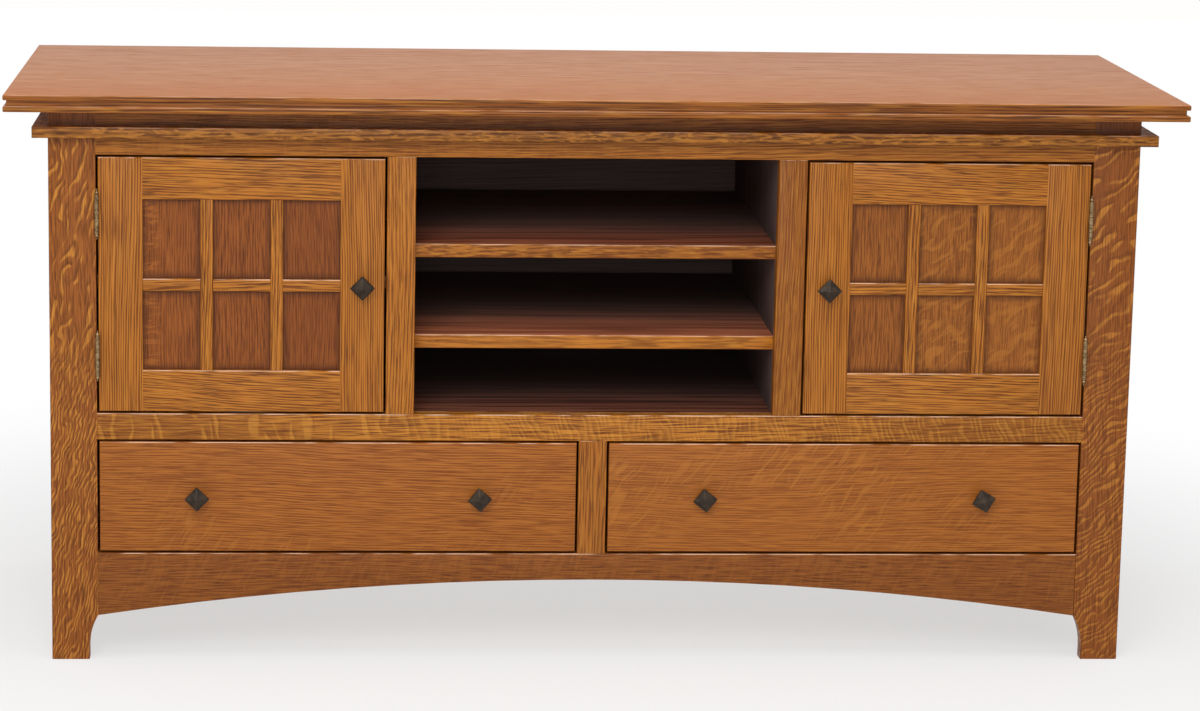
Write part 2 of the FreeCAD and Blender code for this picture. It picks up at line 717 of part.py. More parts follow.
def door_frame():
    hinge_side = piece("left_door_hinge_stile", "door_left", "face_y", "door_z")
    bed = "(door_stile_width - panel_groove_depth)"
    section = [("0", "0"), ("door_stile_width", "0"), ("door_stile_width", "door_groove_y"),
               (bed, "door_groove_y"), (bed, "door_groove_back"), ("door_stile_width", "door_groove_back"),
               ("door_stile_width", "frame_thick"), ("0", "frame_thick")]
    pad(hinge_side, outline(hinge_side, "XY", section), "door_height")
    ease(hinge_side, lambda x, y, z: near(y, "0") and (
        near(x, "0") or near(z, "0") or near(z, "door_height")))
    both_sides("door_hinge_stile", hinge_side)

    knob_side = piece("left_door_knob_stile", "door_left + knob_stile_x", "face_y", "door_z")
    section = [("0", "0"), ("door_stile_width", "0"), ("door_stile_width", "frame_thick"),
               ("0", "frame_thick"), ("0", "door_groove_back"), ("panel_groove_depth", "door_groove_back"),
               ("panel_groove_depth", "door_groove_y"), ("0", "door_groove_y")]
    pad(knob_side, outline(knob_side, "XY", section), "door_height")
    ease(knob_side, lambda x, y, z: near(y, "0") and (
        near(x, "door_stile_width") or near(z, "0") or near(z, "door_height")))
    both_sides("door_knob_stile", knob_side)
    both_sides("door_rails", group("left_door_rails", [door_rail(False), door_rail(True)]))


def door_rail(is_top):
    """A rail with its groove toward the panel and a stub tenon at each end."""
    bottom = "door_z + door_height - door_rail_width" if is_top else "door_z"
    rail = piece("left_door_rail", "door_left + door_stile_width", "face_y", bottom)
    panel_edge = "0" if is_top else "door_rail_width"
    outer_edge = "door_rail_width" if is_top else "0"
    bed = "panel_groove_depth" if is_top else "(door_rail_width - panel_groove_depth)"
    section = [("0", outer_edge), ("frame_thick", outer_edge), ("frame_thick", panel_edge),
               ("door_groove_back", panel_edge), ("door_groove_back", bed), ("door_groove_y", bed),
               ("door_groove_y", panel_edge), ("0", panel_edge)]
    pad(rail, outline(rail, "YZ", section), "pane_width")
    reach = "(panel_groove_depth - joint_clearance)"
    low, high = (bed, outer_edge) if is_top else (outer_edge, bed)
    tongue = rectangle(rail, "YZ", "door_groove_y + joint_clearance", low,
                       "door_groove_back - joint_clearance", high, f"-{reach}")
    pad(rail, tongue, f"pane_width + 2 * {reach}")
    ease(rail, lambda x, y, z: near(y, "0") and (near(z, "0") or near(z, "door_rail_width")))
    return rail


def door_panel():
    sunk = "(panel_groove_depth - joint_clearance)"
    panel = board("left_door_panel",
                  (f"door_left + door_stile_width - {sunk}", "face_y + door_panel_setback",
                   f"door_z + door_rail_width - {sunk}"),
                  (f"pane_width + 2 * {sunk}", "door_panel_thick", f"pane_height + 2 * {sunk}"))
    both_sides("door_panel", panel)

    bars = []

    def bar(left, bottom, width, height, across):
        body = board("muntin", (f"door_left + door_stile_width + {left}", "face_y + muntin_setback",
                                f"door_z + door_rail_width + {bottom}"), (width, "muntin_thick", height))
        if across:
            ease(body, lambda x, y, z: near(y, "0") and (near(z, "0") or near(z, height)))
        else:
            ease(body, lambda x, y, z: near(y, "0") and (near(x, "0") or near(x, width)))
        bars.append(body)
    for number in (1, 2):
        bar(f"{number} * pane_step - muntin_width", "0", "muntin_width", "pane_height", False)
    for number in (0, 1, 2):
        bar(f"{number} * pane_step", "(pane_height - muntin_width) / 2", "pane_step - muntin_width",
            "muntin_width", True)
    both_sides("door_muntins", group("left_door_muntins", bars))


def knob(x, z, turn):
    """A pyramid knob on a round stem, standing on a place of the front face."""
    body = piece("knob", x, "face_y", z)
    body.Placement = FreeCAD.Placement(FreeCAD.Vector(), FreeCAD.Rotation(FreeCAD.Vector(0, -1, 0), 1))
    bind(body, **{"Placement.Rotation.Angle": f"45 + {turn}"})
    stem = circle(body, "XZ", "0", "0", "knob_stem_radius", "-knob_stem_length")
    pad(body, stem, "knob_stem_length")
    waist = "(knob_stem_length + knob_taper)"
    sections = [("knob_stem_length", "knob_back_square"), (waist, "knob_square"),
                (f"({waist} + knob_edge)", "knob_square"),
                (f"({waist} + knob_edge + knob_pyramid)", "knob_tip")]
    for (near_face, wide), (far_face, narrow) in zip(sections, sections[1:]):
        block = body.newObject("PartDesign::AdditiveWedge", "Block")
        bind(block, Ymin=f"-{far_face}", Ymax=f"-{near_face}",
             Xmin=f"-{narrow} / 2", Xmax=f"{narrow} / 2", Zmin=f"-{narrow} / 2", Zmax=f"{narrow} / 2",
             X2min=f"-{wide} / 2", X2max=f"{wide} / 2", Z2min=f"-{wide} / 2", Z2max=f"{wide} / 2")
    return body


def knobs():
    for side, sign in (("left", ""), ("right", "-")):
        x = f"{sign}(door_left + knob_stile_x + door_stile_width / 2)"
        node(side + "_door_knob", knob(x, "door_z + door_height / 2", "knob_turn_a"))
    for side, sign, turns in (("left", "", "ab"), ("right", "-", "cd")):
        pair = []
        for offset, turn in zip("-+", turns):
            x = f"{sign}(drawer_middle) {offset} drawer_knob_spread / 2"
            pair.append(knob(x, "drawer_sill + drawer_opening_height / 2", "knob_turn_" + turn))
        node(side + "_drawer_knobs", group(side + "_drawer_knobs", pair))


def catches():
    middle = "(door_left + knob_stile_x + door_stile_width / 2)"
    strike = board("left_door_strike", (f"{middle} - strike_width / 2", "frame_back_y", "door_z"),
                   ("strike_width", "strike_thick", "catch_height - reveal"))
    both_sides("door_strike", strike)
    magnet_y = "frame_back_y + strike_thick + catch_gap"
    magnet = board("left_catch", (f"{middle} - catch_width / 2", magnet_y, "deck_z"),
                   ("catch_width", "catch_depth", "catch_height"))
    node("magnetic_catches", group("magnetic_catches", [magnet, mirror("right_catch", magnet)]))


def drawer_side():
    """A side board with dovetails at both ends and a groove for the bottom."""
    body = piece("left_drawer_side", "box_left", "box_y", "box_z")
    pad(body, rectangle(body, "YZ", "0", "0", "box_depth", "box_height"), "box_thick")
    shallow, deep = "(tail_gap / 2)", "(tail_gap / 2 + tail_spread)"
    for tip, root in (("0", "box_thick"), ("box_depth", "box_depth - box_thick")):
        gap = [(tip, f"-{shallow}"), (root, f"-{deep}"), (root, deep), (tip, shallow)]
        if tip != "0":
            gap.reverse()
        sketch = outline(body, "YZ", gap)
        repeat(body, pocket(body, sketch, "box_thick"), sketch, "box_height", "tail_count + 1")
    start = "box_thick - box_groove_depth"
    groove = rectangle(body, "YZ", start, "box_bottom_rise", f"box_depth - ({start})",
                       "box_bottom_rise + box_bottom_thick + 2 * panel_play", start)
    pocket(body, groove, "box_groove_depth")
    return body


def drawer_end(name, y, inner_y, sides):
    """The box's front or back, cut to fit between the tails of the two sides."""
    blank = piece(name + "_blank", "box_left", y, "box_z")
    pad(blank, rectangle(blank, "XZ", "0", "0", "box_width", "box_height"), "box_thick")
    inset = "(box_thick - box_groove_depth)"
    groove = rectangle(blank, "XZ", inset, "box_bottom_rise", f"box_width - {inset}",
                       "box_bottom_rise + box_bottom_thick + 2 * panel_play", inner_y)
    pocket(blank, groove, "box_groove_depth")
    end = doc.addObject("Part::Cut", name)
    end.Base = blank
    end.Tool = sides
    return end


def drawers():
    front = piece("left_drawer_front", "drawer_left", "face_y", "drawer_sill + reveal")
    pad(front, rectangle(front, "XZ", "0", "0", "drawer_front_width", "drawer_front_height"), "frame_thick")
    ease(front, lambda x, y, z: near(y, "0") and (
        near(x, "0") or near(x, "drawer_front_width") or near(z, "0") or near(z, "drawer_front_height")))
    both_sides("drawer_front", front)

    side = drawer_side()
    sides = group("left_drawer_sides", [side, mirror("left_drawer_far_side", side, "drawer_middle")])
    both_sides("drawer_sides", sides)
    inset = "box_thick - box_groove_depth"
    ends = [drawer_end("left_box_front", "box_y", inset, sides),
            drawer_end("left_box_back", "box_y + box_depth - box_thick", "0", sides)]
    both_sides("drawer_box_ends", group("left_drawer_box_ends", ends))
    edge = f"({inset} + joint_clearance)"
    bottom = board("left_drawer_bottom", (f"box_left + {edge}", f"box_y + {edge}",
                                          "box_z + box_bottom_rise + panel_play"),
                   (f"box_width - 2 * {edge}", f"box_depth - 2 * {edge}", "box_bottom_thick"))
    both_sides("drawer_bottom", bottom)


def channel(name, web, lip, half, turned):
    """A pressed channel along Y: its web stands at web and its two flanges reach to lip."""
    body = piece(name, "opening_left", "frame_back_y", "slide_z")
    inner = f"{web} - slide_gauge" if turned else f"{web} + slide_gauge"
    within = f"({half} - slide_gauge)"
    section = [(web, f"-{half}"), (lip, f"-{half}"), (lip, f"-{within}"), (inner, f"-{within}"),
               (inner, within), (lip, within), (lip, half), (web, half)]
    if turned:
        section.reverse()
    pad(body, outline(body, "XZ", section), "slide_length")
    return body


def slides():
    step = "(slide_gauge + slide_play)"

    def pair(name, item):
        return group(name, [item, mirror(name + "_far", item, "drawer_middle")])
    case_member = channel("case_member", "0", "slide_thick - slide_play", "slide_half", False)
    left = pair("left_case_members", case_member)
    node("slide_case_members", group("slide_case_members", [left, mirror("right_case_members", left)]))
    middle = channel("middle_member", step, f"slide_thick - {step}", f"(slide_half - {step})", False)
    both_sides("slide_middle_members", pair("left_middle_members", middle))
    drawer_member = channel("drawer_member", "slide_thick", f"2 * {step}", f"(slide_half - 2 * {step})", True)
    both_sides("slide_drawer_members", pair("left_drawer_members", drawer_member))

    block_z = "slide_z - slide_half - slide_block_margin"
    block_height = "slide_height + 2 * slide_block_margin"
    outer = board("left_outer_block", ("inner_left", "frame_back_y", block_z),
                  ("opening_left - (inner_left)", "inner_depth", block_height))
    inner = board("left_inner_block", ("-mullion_width / 2", "frame_back_y", block_z),
                  ("(mullion_width - partition_thick) / 2", "inner_depth", block_height))
    blocks = group("left_slide_blocks", [outer, inner])
    node("slide_blocks", group("slide_blocks", [blocks, mirror("right_slide_blocks", blocks)]))


def save():
    doc.recompute()
    failed = [item.Name for item in doc.Objects if {"Invalid", "Error"} & set(item.State)]
    failed += [item.Label for item in nodes if item.Shape.isNull() or not item.Shape.isValid()]
    if failed:
        raise RuntimeError("failed: " + ", ".join(failed))
    os.makedirs("parts", exist_ok=True)
    for item in nodes:
        item.Shape.exportStep(f"parts/{item.Label}.step")
    print(len(nodes), "sub-parts")


top_slab()
cornice()
front_legs()
face_rails()
mullions()
end_frames()
back_panel()
inner_boards()
shelves()
shelf_pins()
hinges()
door_frame()
door_panel()
knobs()
catches()
drawers()
slides()
save()
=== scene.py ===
import json
import math
import random

import bmesh
import bpy
from mathutils import Matrix, Vector, noise


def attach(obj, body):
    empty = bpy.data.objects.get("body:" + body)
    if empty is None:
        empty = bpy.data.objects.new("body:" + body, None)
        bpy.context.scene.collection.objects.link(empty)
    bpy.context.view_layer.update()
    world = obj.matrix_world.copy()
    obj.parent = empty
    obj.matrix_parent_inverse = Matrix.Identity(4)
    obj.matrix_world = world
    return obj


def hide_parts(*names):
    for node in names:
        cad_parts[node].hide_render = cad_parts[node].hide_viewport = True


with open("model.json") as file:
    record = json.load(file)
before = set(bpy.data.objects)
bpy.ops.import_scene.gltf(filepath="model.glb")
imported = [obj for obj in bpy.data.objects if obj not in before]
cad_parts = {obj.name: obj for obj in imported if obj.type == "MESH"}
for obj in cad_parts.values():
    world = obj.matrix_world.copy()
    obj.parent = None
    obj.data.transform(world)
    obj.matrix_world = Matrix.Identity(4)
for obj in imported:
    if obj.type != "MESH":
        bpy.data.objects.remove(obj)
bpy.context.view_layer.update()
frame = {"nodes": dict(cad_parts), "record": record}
record = frame["record"]
BODY_OF = {node: body for body, nodes in record["behaviour"]["bodies"].items() for node in nodes}
SLOT_OF = {row["node"]: row["material_slot"] for row in record["subparts"]}
SIDES = (("left", -1), ("right", 1))
MM = 0.001
X, Y, Z = range(3)


# Places on the right half of the stand in mm, taken from the CAD nodes; the left half mirrors it

def least(node, axis):
    return round(min(vert.co[axis] for vert in frame["nodes"][node].data.vertices) / MM, 2)


def most(node, axis):
    return round(max(vert.co[axis] for vert in frame["nodes"][node].data.vertices) / MM, 2)


def middle(node, axis):
    return (least(node, axis) + most(node, axis)) / 2


STILE, DRAWER = "right_door_knob_stile", "right_drawer_front"
FACE, BEHIND = least(STILE, Y), most(STILE, Y)
CORNICE_TOP = most("cornice_front", Z)
LEG_EDGE, DOOR_EDGE = least("right_front_leg", X), most("right_door_hinge_stile", X)
DOOR_BOTTOM, DOOR_TOP = least(STILE, Z), most(STILE, Z)
DOOR_KNOB_X, DOOR_KNOB_Z = middle(STILE, X), middle(STILE, Z)
DRAWER_X, DRAWER_KNOB_Z = middle(DRAWER, X), middle(DRAWER, Z)
DRAWER_KNOB_SPREAD = 370.0
DRAWER_KNOBS_X = [DRAWER_X + way * DRAWER_KNOB_SPREAD / 2 for way in (-1, 1)]


# Nodes

FINISHES = {}
MIXED_COLOUR = 2  # the output of a Mix node that holds colours


def tint(red, green, blue):
    """A colour as seen on screen, 0 to 255, as the shader takes it."""
    def spread(part):
        part /= 255
        return part / 12.92 if part <= 0.04045 else ((part + 0.055) / 1.055) ** 2.4
    return (spread(red), spread(green), spread(blue), 1.0)


def add_node(tree, kind, settings=None, inputs=None):
    """Any node: its settings first, then the numbers or links of its sockets."""
    made = tree.nodes.new(kind)
    for key, setting in (settings or {}).items():
        setattr(made, key, setting)
    for key, given in (inputs or {}).items():
        socket = next(s for s in made.inputs if s.enabled and key in (s.identifier, s.name))
        if isinstance(given, Value):
            given = given.socket
        if isinstance(given, bpy.types.NodeSocket):
            tree.links.new(given, socket)
        else:
            socket.default_value = given
    return made


class Value:
    """A shader socket that takes part in Python sums."""

    def __init__(self, finish, socket):
        self.finish = finish
        self.socket = socket

    def __add__(self, other):
        return self.finish.maths("ADD", self, other)

    def __sub__(self, other):
        return self.finish.maths("SUBTRACT", self, other)

    def __rsub__(self, other):
        return self.finish.maths("SUBTRACT", other, self)

    def __mul__(self, other):
        return self.finish.maths("MULTIPLY", self, other)

    __radd__ = __add__
    __rmul__ = __mul__


class Finish:
    """A material with one surface shader, and the means to add nodes to it."""

    def __init__(self, name, **fixed):
        self.name = name
        self.material = bpy.data.materials.new(name)
        self.material.use_nodes = True
        self.tree = self.material.node_tree
        self.tree.nodes.clear()
        inputs = {key.replace("_", " "): number for key, number in fixed.items()}
        self.surface = self.node("BsdfPrincipled", inputs=inputs)
        self.end = self.node("OutputMaterial", inputs={"Surface": self.out(self.surface)})

    def keep(self, colour, rough, height, depth):
        """Ends the material with its colour, roughness and relief, and puts it with the others."""
        bump = self.node("Bump", inputs={"Height": height, "Strength": 1.0, "Distance": depth})
        self.feed(Base_Color=colour, Roughness=rough, Normal=self.out(bump))
        FINISHES[self.name] = self.material

    def node(self, kind, settings=None, inputs=None):
        return add_node(self.tree, "ShaderNode" + kind, settings, inputs)

    def out(self, made, key=0):
        return Value(self, made.outputs[key])

    def feed(self, **inputs):
        """Links values to the surface shader."""
        for key, given in inputs.items():
            self.tree.links.new(given.socket, self.surface.inputs[key.replace("_", " ")])

    def maths(self, operation, *values):
        inputs = dict(zip(("Value", "Value_001"), values))
        return self.out(self.node("Math", {"operation": operation}, inputs))

    def attribute(self, name, part="Vector"):
        return self.out(self.node("Attribute", {"attribute_name": name}), part)

    def place(self):
        return self.out(self.node("TexCoord"), "Object")

    def vectors(self, operation, first, second):
        inputs = {"Vector": first, "Vector_001": second}
        return self.out(self.node("VectorMath", {"operation": operation}, inputs))

    def stretch(self, vector, scale):
        return self.vectors("MULTIPLY", vector, scale)

    def split(self, vector):
        made = self.node("SeparateXYZ", inputs={"Vector": vector})
        return [self.out(made, axis) for axis in (X, Y, Z)]

    def bundle(self, x, y, z):
        return self.out(self.node("CombineXYZ", inputs={"X": x, "Y": y, "Z": z}))

    def clouds(self, vector, detail=2.0, roughness=0.5, distortion=0.0, part=0):
        inputs = {"Vector": vector, "Scale": 1.0, "Detail": detail, "Roughness": roughness,
                  "Distortion": distortion}
        return self.out(self.node("TexNoise", inputs=inputs), part)

    def speckle(self, cycles, detail=2.0, roughness=0.5):
        """Noise that is alike in every direction, in cycles a metre."""
        return self.clouds(self.stretch(self.place(), (cycles, cycles, cycles)), detail, roughness)

    def rise(self, value, low, high):
        """Goes smoothly from 0 to 1 while value goes from low to high."""
        inputs = {"Value": value, "From Min": low, "From Max": high}
        return self.out(self.node("MapRange", {"interpolation_type": "SMOOTHSTEP"}, inputs))

    def blend(self, share, first, second):
        """Mixes two colours, each a value or as seen on screen, 0 to 255."""
        inputs = {"Factor_Float": share}
        for key, colour in (("A_Color", first), ("B_Color", second)):
            inputs[key] = colour if isinstance(colour, Value) else tint(*colour)
        return self.out(self.node("Mix", {"data_type": "RGBA"}, inputs), MIXED_COLOUR)


# Finishes

# Noise in cycles a metre along, across and through the wood
DRIFT, RIPPLE = (1.6, 5.0, 5.0), (12.0, 20.0, 20.0)
BANDS, MOTTLE = (2.0, 70.0, 35.0), (5.0, 14.0, 14.0)
PATCHES, HIGHLIGHT_BREAKS = (4.0, 9.0, 1.0), (26.0, 60.0, 60.0)
# Noise drawn out along the grain: times the board's run along and across, and its detail
FINE, DASHES, STREAKS = (1.0, 1.0, 1.0), (2.4, 1.3, 0.5), (1.5, 1.1, 1.0)
STREAK_SHIFT, GRAIN_ROUGH, GRAIN_THROUGH = 31.0, 0.55, 0.5
# How far the grain drifts and ripples across the wood, in metres
DRIFTS, RIPPLES = 0.026, 0.0026
# From one glued board to the next: step along and through the wood in metres, and change of tone
NEXT_ALONG, NEXT_THROUGH, NEXT_TONE = 1.37, 0.73, 0.8
# Rings: lean into the wood, bend in radians, and the share of the broad bands in the growth
RING_LEAN, RING_BEND, BAND_SHARE = 0.7, 16.0, 0.08
# Middle of the growth, and how far the darkest and lightest wood lie from it
GROWTH, GROWTH_SPREAD = 0.49, 0.12
# Between which noise values each of these comes in
PORES, PORE_RINGS, LIT, HIGHLIGHT_GAPS = (0.52, 0.64), (0.60, 0.42), (0.53, 0.70), (0.34, 0.60)
FINE_RAYS, FINE_SHADE_RIMS = (0.49, 0.61), (0.30, 0.44)
RAY_PATCHES, RAY_SHINE = (0.45, 0.62), (0.36, 0.62)
# Tone at which a board is as light or as dark as it gets, and how far it then goes
FULL_TONE, LIGHTEST, DARKEST = 0.9, 0.4, 0.6
# What rings and pores add to the roughness and rays take off, and the height of the grain in metres
RING_ROUGH, PORE_ROUGH, RAY_GLOSS, RELIEF = 0.25, 0.12, 0.12, 0.0002
# Ray figure in lengths of its own run: how often and how far it sways, and the finer figure
SWAY, SWAYS, FINER = (0.6, 0.26, 0.3), (1.0, 4.0, 0.0), (1.5, 1.8, 2.0)
# Below the flake's own noise level: where the painted shade round each flake starts and where it is full
SHADE_RIM_FROM, SHADE_RIM_TO = 0.18, 0.06
# Wavy figure, lines then ribbons: spacing, how often they bend and break, and where the crest starts
WAVES = ((1.0, 0.5, 1.3, 0.15), (2.1, 0.34, 0.7, 0.5))
# The last of the next four turns the line of painted shade that runs beside each crest, in radians
WAVE_BEND, WAVE_BREAK, WAVE_FADE, SHADE_TURN = 32.0, 5.0, 0.9, 1.9
# Their bends and breaks across the figure, as a share of those along it, and through it
BEND_CROSS, BEND_THROUGH, BREAK_CROSS, BREAK_THROUGH = 0.4, 0.3, 0.7, 0.5
# How much a crest shines in dark wood, and how much more in light wood
DULL, BRIGHTER = 0.5, 0.7
# Panes: where the rim of painted shade starts, off the middle, how full it is, and the seams between columns
RIM, RIM_SHADE, COLUMN_SEAM = 0.46, 0.75, 0.03
# Painted shade above the cornice, under the top: half its seam in metres, how full it is, how much it fades
# and by what height
SEAM, DEEP_SHADE, SHADE_FADE, FADED_AT = 0.0005, 0.65, 0.45, 0.010
# How full the painted shade inside the case gets, and how strong the painted highlight on upward front edges
# is
DEPTH_SHADE_SHARE, HIGHLIGHT_SHARE = 0.85, 0.8


class Oak(Finish):
    """Stained oak in a board's own lengths. Its boards carry grain (along, across, through), flake (the run
    of the ray figure), figure (tone, ray share, place along the board from 0 to 1), pane (place in a framed
    panel, counted in panes) and arris (above 0 on the edges that face up and to the front, which take a
    painted highlight)."""

    def __init__(self, name, dark, light, pore, run=(16.0, 400.0), ring=(4.2, 0.2), contrast=1.0, line=0.7,
                 wander=1.0, strip=0.0, swell=0.0, gloss=0.40, shine=0.2):
        """run is how often the grain changes along and across a metre, ring the rings' spacing in mm and
        their strength, line the depth of the pores, strip the width in metres of boards glued side by
        side, and swell how much paler a board is half way along."""
        super().__init__(name, Specular_IOR_Level=shine)
        self.dark, self.light, self.pore = dark, light, pore
        self.often, self.close = run
        self.along, self.across, self.through = self.split(self.attribute("grain"))
        tone, self.share, self.reached = self.split(self.attribute("figure"))
        if swell:
            tone = tone + self.reached * (1 - self.reached) * (4 * swell)
        if strip:
            number = self.maths("FLOOR", self.across * (1 / strip))
            self.along = self.along + number * NEXT_ALONG
            self.through = self.through + number * NEXT_THROUGH
            chance = self.out(self.node("TexWhiteNoise", {"noise_dimensions": "1D"}, {"W": number}))
            tone = tone + (chance - 0.5) * NEXT_TONE
        drift = self.wood_clouds(DRIFT)
        ripple = self.wood_clouds(RIPPLE)
        strays = (drift - 0.5) * (DRIFTS * wander)
        self.across = self.across + strays + (ripple - 0.5) * (RIPPLES * wander)
        spacing, strength = ring
        fine = self.grained(*FINE)
        dashes = self.grained(*DASHES)
        bands = self.wood_clouds(BANDS, 2.0)
        mottle = self.wood_clouds(MOTTLE, 2.0)
        inward = self.across + self.through * RING_LEAN
        rings = self.maths("SINE", inward * (math.tau / (spacing * MM)) + bands * RING_BEND) * 0.5 + 0.5
        growth = rings * strength + fine * (1 - BAND_SHARE - strength) + bands * BAND_SHARE
        spread = GROWTH_SPREAD / contrast
        self.colour = self.blend(self.rise(growth, GROWTH - spread, GROWTH + spread), dark, light)
        porous = self.rise(dashes, *PORES) * self.rise(growth, *PORE_RINGS)
        self.over(porous * line, pore)
        lift = tone * 0.5 + (mottle - 0.5)
        self.over(self.rise(lift, 0.0, FULL_TONE) * LIGHTEST, light)
        self.over(self.rise(lift, 0.0, -FULL_TONE) * DARKEST, dark)
        self.growth = growth
        self.rough = gloss + (0.5 - growth) * RING_ROUGH + porous * PORE_ROUGH
        self.relief = growth * 0.5 - porous * 0.5

    def over(self, share, colour):
        """Lays a colour over the wood."""
        self.colour = self.blend(share, self.colour, colour)
        return self

    def wood_clouds(self, cycles, detail=1.0):
        """Noise in cycles a metre along, across and through the wood."""
        ways = zip((self.along, self.across, self.through), cycles)
        return self.clouds(self.bundle(*(way * often for way, often in ways)), detail)

    def grained(self, often, close, detail, shift=0.0):
        """Noise drawn out along the grain, finer than the board's run by the numbers given."""
        often, close = self.often * often, self.close * close
        deep = self.through * (close * GRAIN_THROUGH)
        place = self.bundle(self.along * often + shift, self.across * close, deep)
        return self.clouds(place, detail, GRAIN_ROUGH)

    def streaks(self, gold, share):
        """Short golden streaks along the grain."""
        lit = self.grained(*STREAKS, STREAK_SHIFT)
        return self.over(self.rise(lit, *LIT) * share, gold)

    def rays(self, flake, sparse=0.57, soft=0.05, rim=0.4, ripples=None, patchy=False, column=None):
        """Ray figure that shines out of the wood, with painted shade round each flake. sparse is the noise
        above which it shows, soft how softly it starts and rim how dark the painted shade round it is.
        ripples gives the places along the board between which small ripples turn to full flakes, and column
        the stretch of a panel, in panes, where it fades."""
        run = self.attribute("flake")
        sway = self.clouds(self.stretch(run, SWAY), 1.5, part="Color")
        run = self.vectors("ADD", run, self.stretch(sway, SWAYS))
        flecks = self.clouds(run, detail=1.5, distortion=0.3)
        rays = self.rise(flecks, sparse - soft, sparse + soft)
        # hollow is a rim of painted shade round each flake
        hollow = self.rise(flecks, sparse - SHADE_RIM_FROM, sparse - SHADE_RIM_TO)
        if ripples:
            small = self.clouds(self.stretch(run, FINER), 1.0)
            full = self.rise(self.reached, *ripples)
            fine = self.rise(small, *FINE_RAYS)
            fine_shade = self.rise(small, *FINE_SHADE_RIMS)
            rays = fine + (rays - fine) * full
            hollow = fine_shade + (hollow - fine_shade) * full
        if patchy:
            patch = self.rise(self.wood_clouds(PATCHES, 2.0), *RAY_PATCHES)
            rays = rays * patch
            hollow = hollow * patch
        share = self.share
        if column:
            share = share * self.rise(self.split(self.attribute("pane"))[X], *column)
        return self.lay(rays, hollow, share, flake, rim)

    def wavy_rays(self, flake, widens, rim=0.45):
        """Ray figure of broken wavy lines that turn to loose ribbons, pale on the crest, with painted shade
        along one flank. widens gives the places along the board between which they turn."""
        along, cross, depth = self.split(self.attribute("flake"))
        wide = self.rise(self.reached, *widens)
        layers = []
        for spacing, often, close, starts in WAVES:
            bends = self.bundle(along * often, cross * (BEND_CROSS * often), depth * BEND_THROUGH)
            gaps = self.bundle(along * close, cross * (BREAK_CROSS * close), depth * BREAK_THROUGH)
            phase = cross * (math.tau / spacing) + self.clouds(bends, 2.0) * WAVE_BEND
            broken = (self.clouds(gaps, 1.0) - 0.5) * WAVE_BREAK
            waves = [self.maths("SINE", phase + turn) + broken for turn in (0.0, SHADE_TURN)]
            layers.append([self.rise(wave, starts, starts + WAVE_FADE) for wave in waves])
        crest, shaded_flank = [lines + (ribbons - lines) * wide for lines, ribbons in zip(*layers)]
        # The ray figure stops above the cornice, where painted shade lies under the top.
        share = self.share * (1 - self.above_cornice())
        shining = DULL + self.rise(self.growth, *RAY_SHINE) * BRIGHTER
        return self.lay(crest, shaded_flank, share, flake, rim, shining)

    def lay(self, pale, dark, share, flake, rim, shining=1.0):
        """Lays a ray figure over the wood: its pale figure, and painted shade on its dark side."""
        self.rough = self.rough - pale * share * RAY_GLOSS
        # The dark side is painted shade, laid in the pore colour.
        self.over(dark * (1 - pale) * share * rim, self.pore)
        return self.over(pale * share * shining, flake)

    def columns(self, *tones):
        """Boards of a panel that differ in tone, one behind each column of panes."""
        place = self.split(self.attribute("pane"))[X]
        seam = COLUMN_SEAM
        for number, tone in enumerate(tones):
            starts = self.rise(place, number - seam, number + seam)
            stops = self.rise(place, number + 1 + seam, number + 1 - seam)
            self.over(starts * stops * abs(tone), self.light if tone > 0 else self.dark)
        return self

    def painted_rim_shade(self, *reaches):
        """Painted shade along the rim of each pane, where the frame and the bars shade the sunk panel; it
        reaches in by shares of a pane, across and up.
        """
        rims = []
        for way, reach in zip(self.split(self.attribute("pane")), reaches):
            off_middle = self.maths("ABSOLUTE", self.maths("FRACT", way) - 0.5)
            rims.append(self.rise(off_middle, RIM - reach, RIM))
        return self.over(self.maths("MAXIMUM", *rims) * RIM_SHADE, self.pore)

    def painted_depth_shade(self):
        """Painted shade: the wood turns to a flat grey-brown, the tone of shade, with the depth inside the
        case.
        """
        shade_share = self.rise(self.split(self.place())[Y], DEPTH_SHADE_FROM, DEPTH_SHADE_FULL_AT)
        return self.over(shade_share * DEPTH_SHADE_SHARE, DEPTH_SHADE_TONE)

    def above_cornice(self, start=-SEAM, end=SEAM):
        """Goes from 0 to 1 between two heights over the cornice, in metres."""
        height = self.split(self.place())[Z]
        return self.rise(height, CORNICE_TOP * MM + start, CORNICE_TOP * MM + end)

    def painted_shade_under_top(self):
        """Painted shade above the cornice, under the top: fullest just above the cornice, fading upwards."""
        fades = self.above_cornice(SEAM, FADED_AT)
        deep = self.above_cornice() * (DEEP_SHADE - fades * SHADE_FADE)
        return self.over(deep, SHADED)

    def done(self):
        """Paints a highlight along the edges that face up and to the front, broken up by noise, and ends the
        material.
        """
        highlighted = self.rise(self.wood_clouds(HIGHLIGHT_BREAKS), *HIGHLIGHT_GAPS)
        edge = self.attribute("arris", "Fac")
        self.over(edge * highlighted * HIGHLIGHT_SHARE, PAINTED_HIGHLIGHT)
        self.keep(self.colour, self.rough, self.relief, RELIEF)


# Colours as seen on screen, 0 to 255
# Painted colours: a highlight for the upward front edges, shade under the top, and a grey shade tone deep
# inside the case
PAINTED_HIGHLIGHT, SHADED, DEPTH_SHADE_TONE = (248, 208, 178), (50, 31, 26), (105, 93, 90)
OAK_DARK, OAK_LIGHT, OAK_PORE, PANEL_PORE = (122, 66, 19), (184, 113, 38), (86, 44, 13), (66, 32, 11)
OAK_GOLD, OAK_FLAKE = (202, 137, 50), (188, 121, 42)
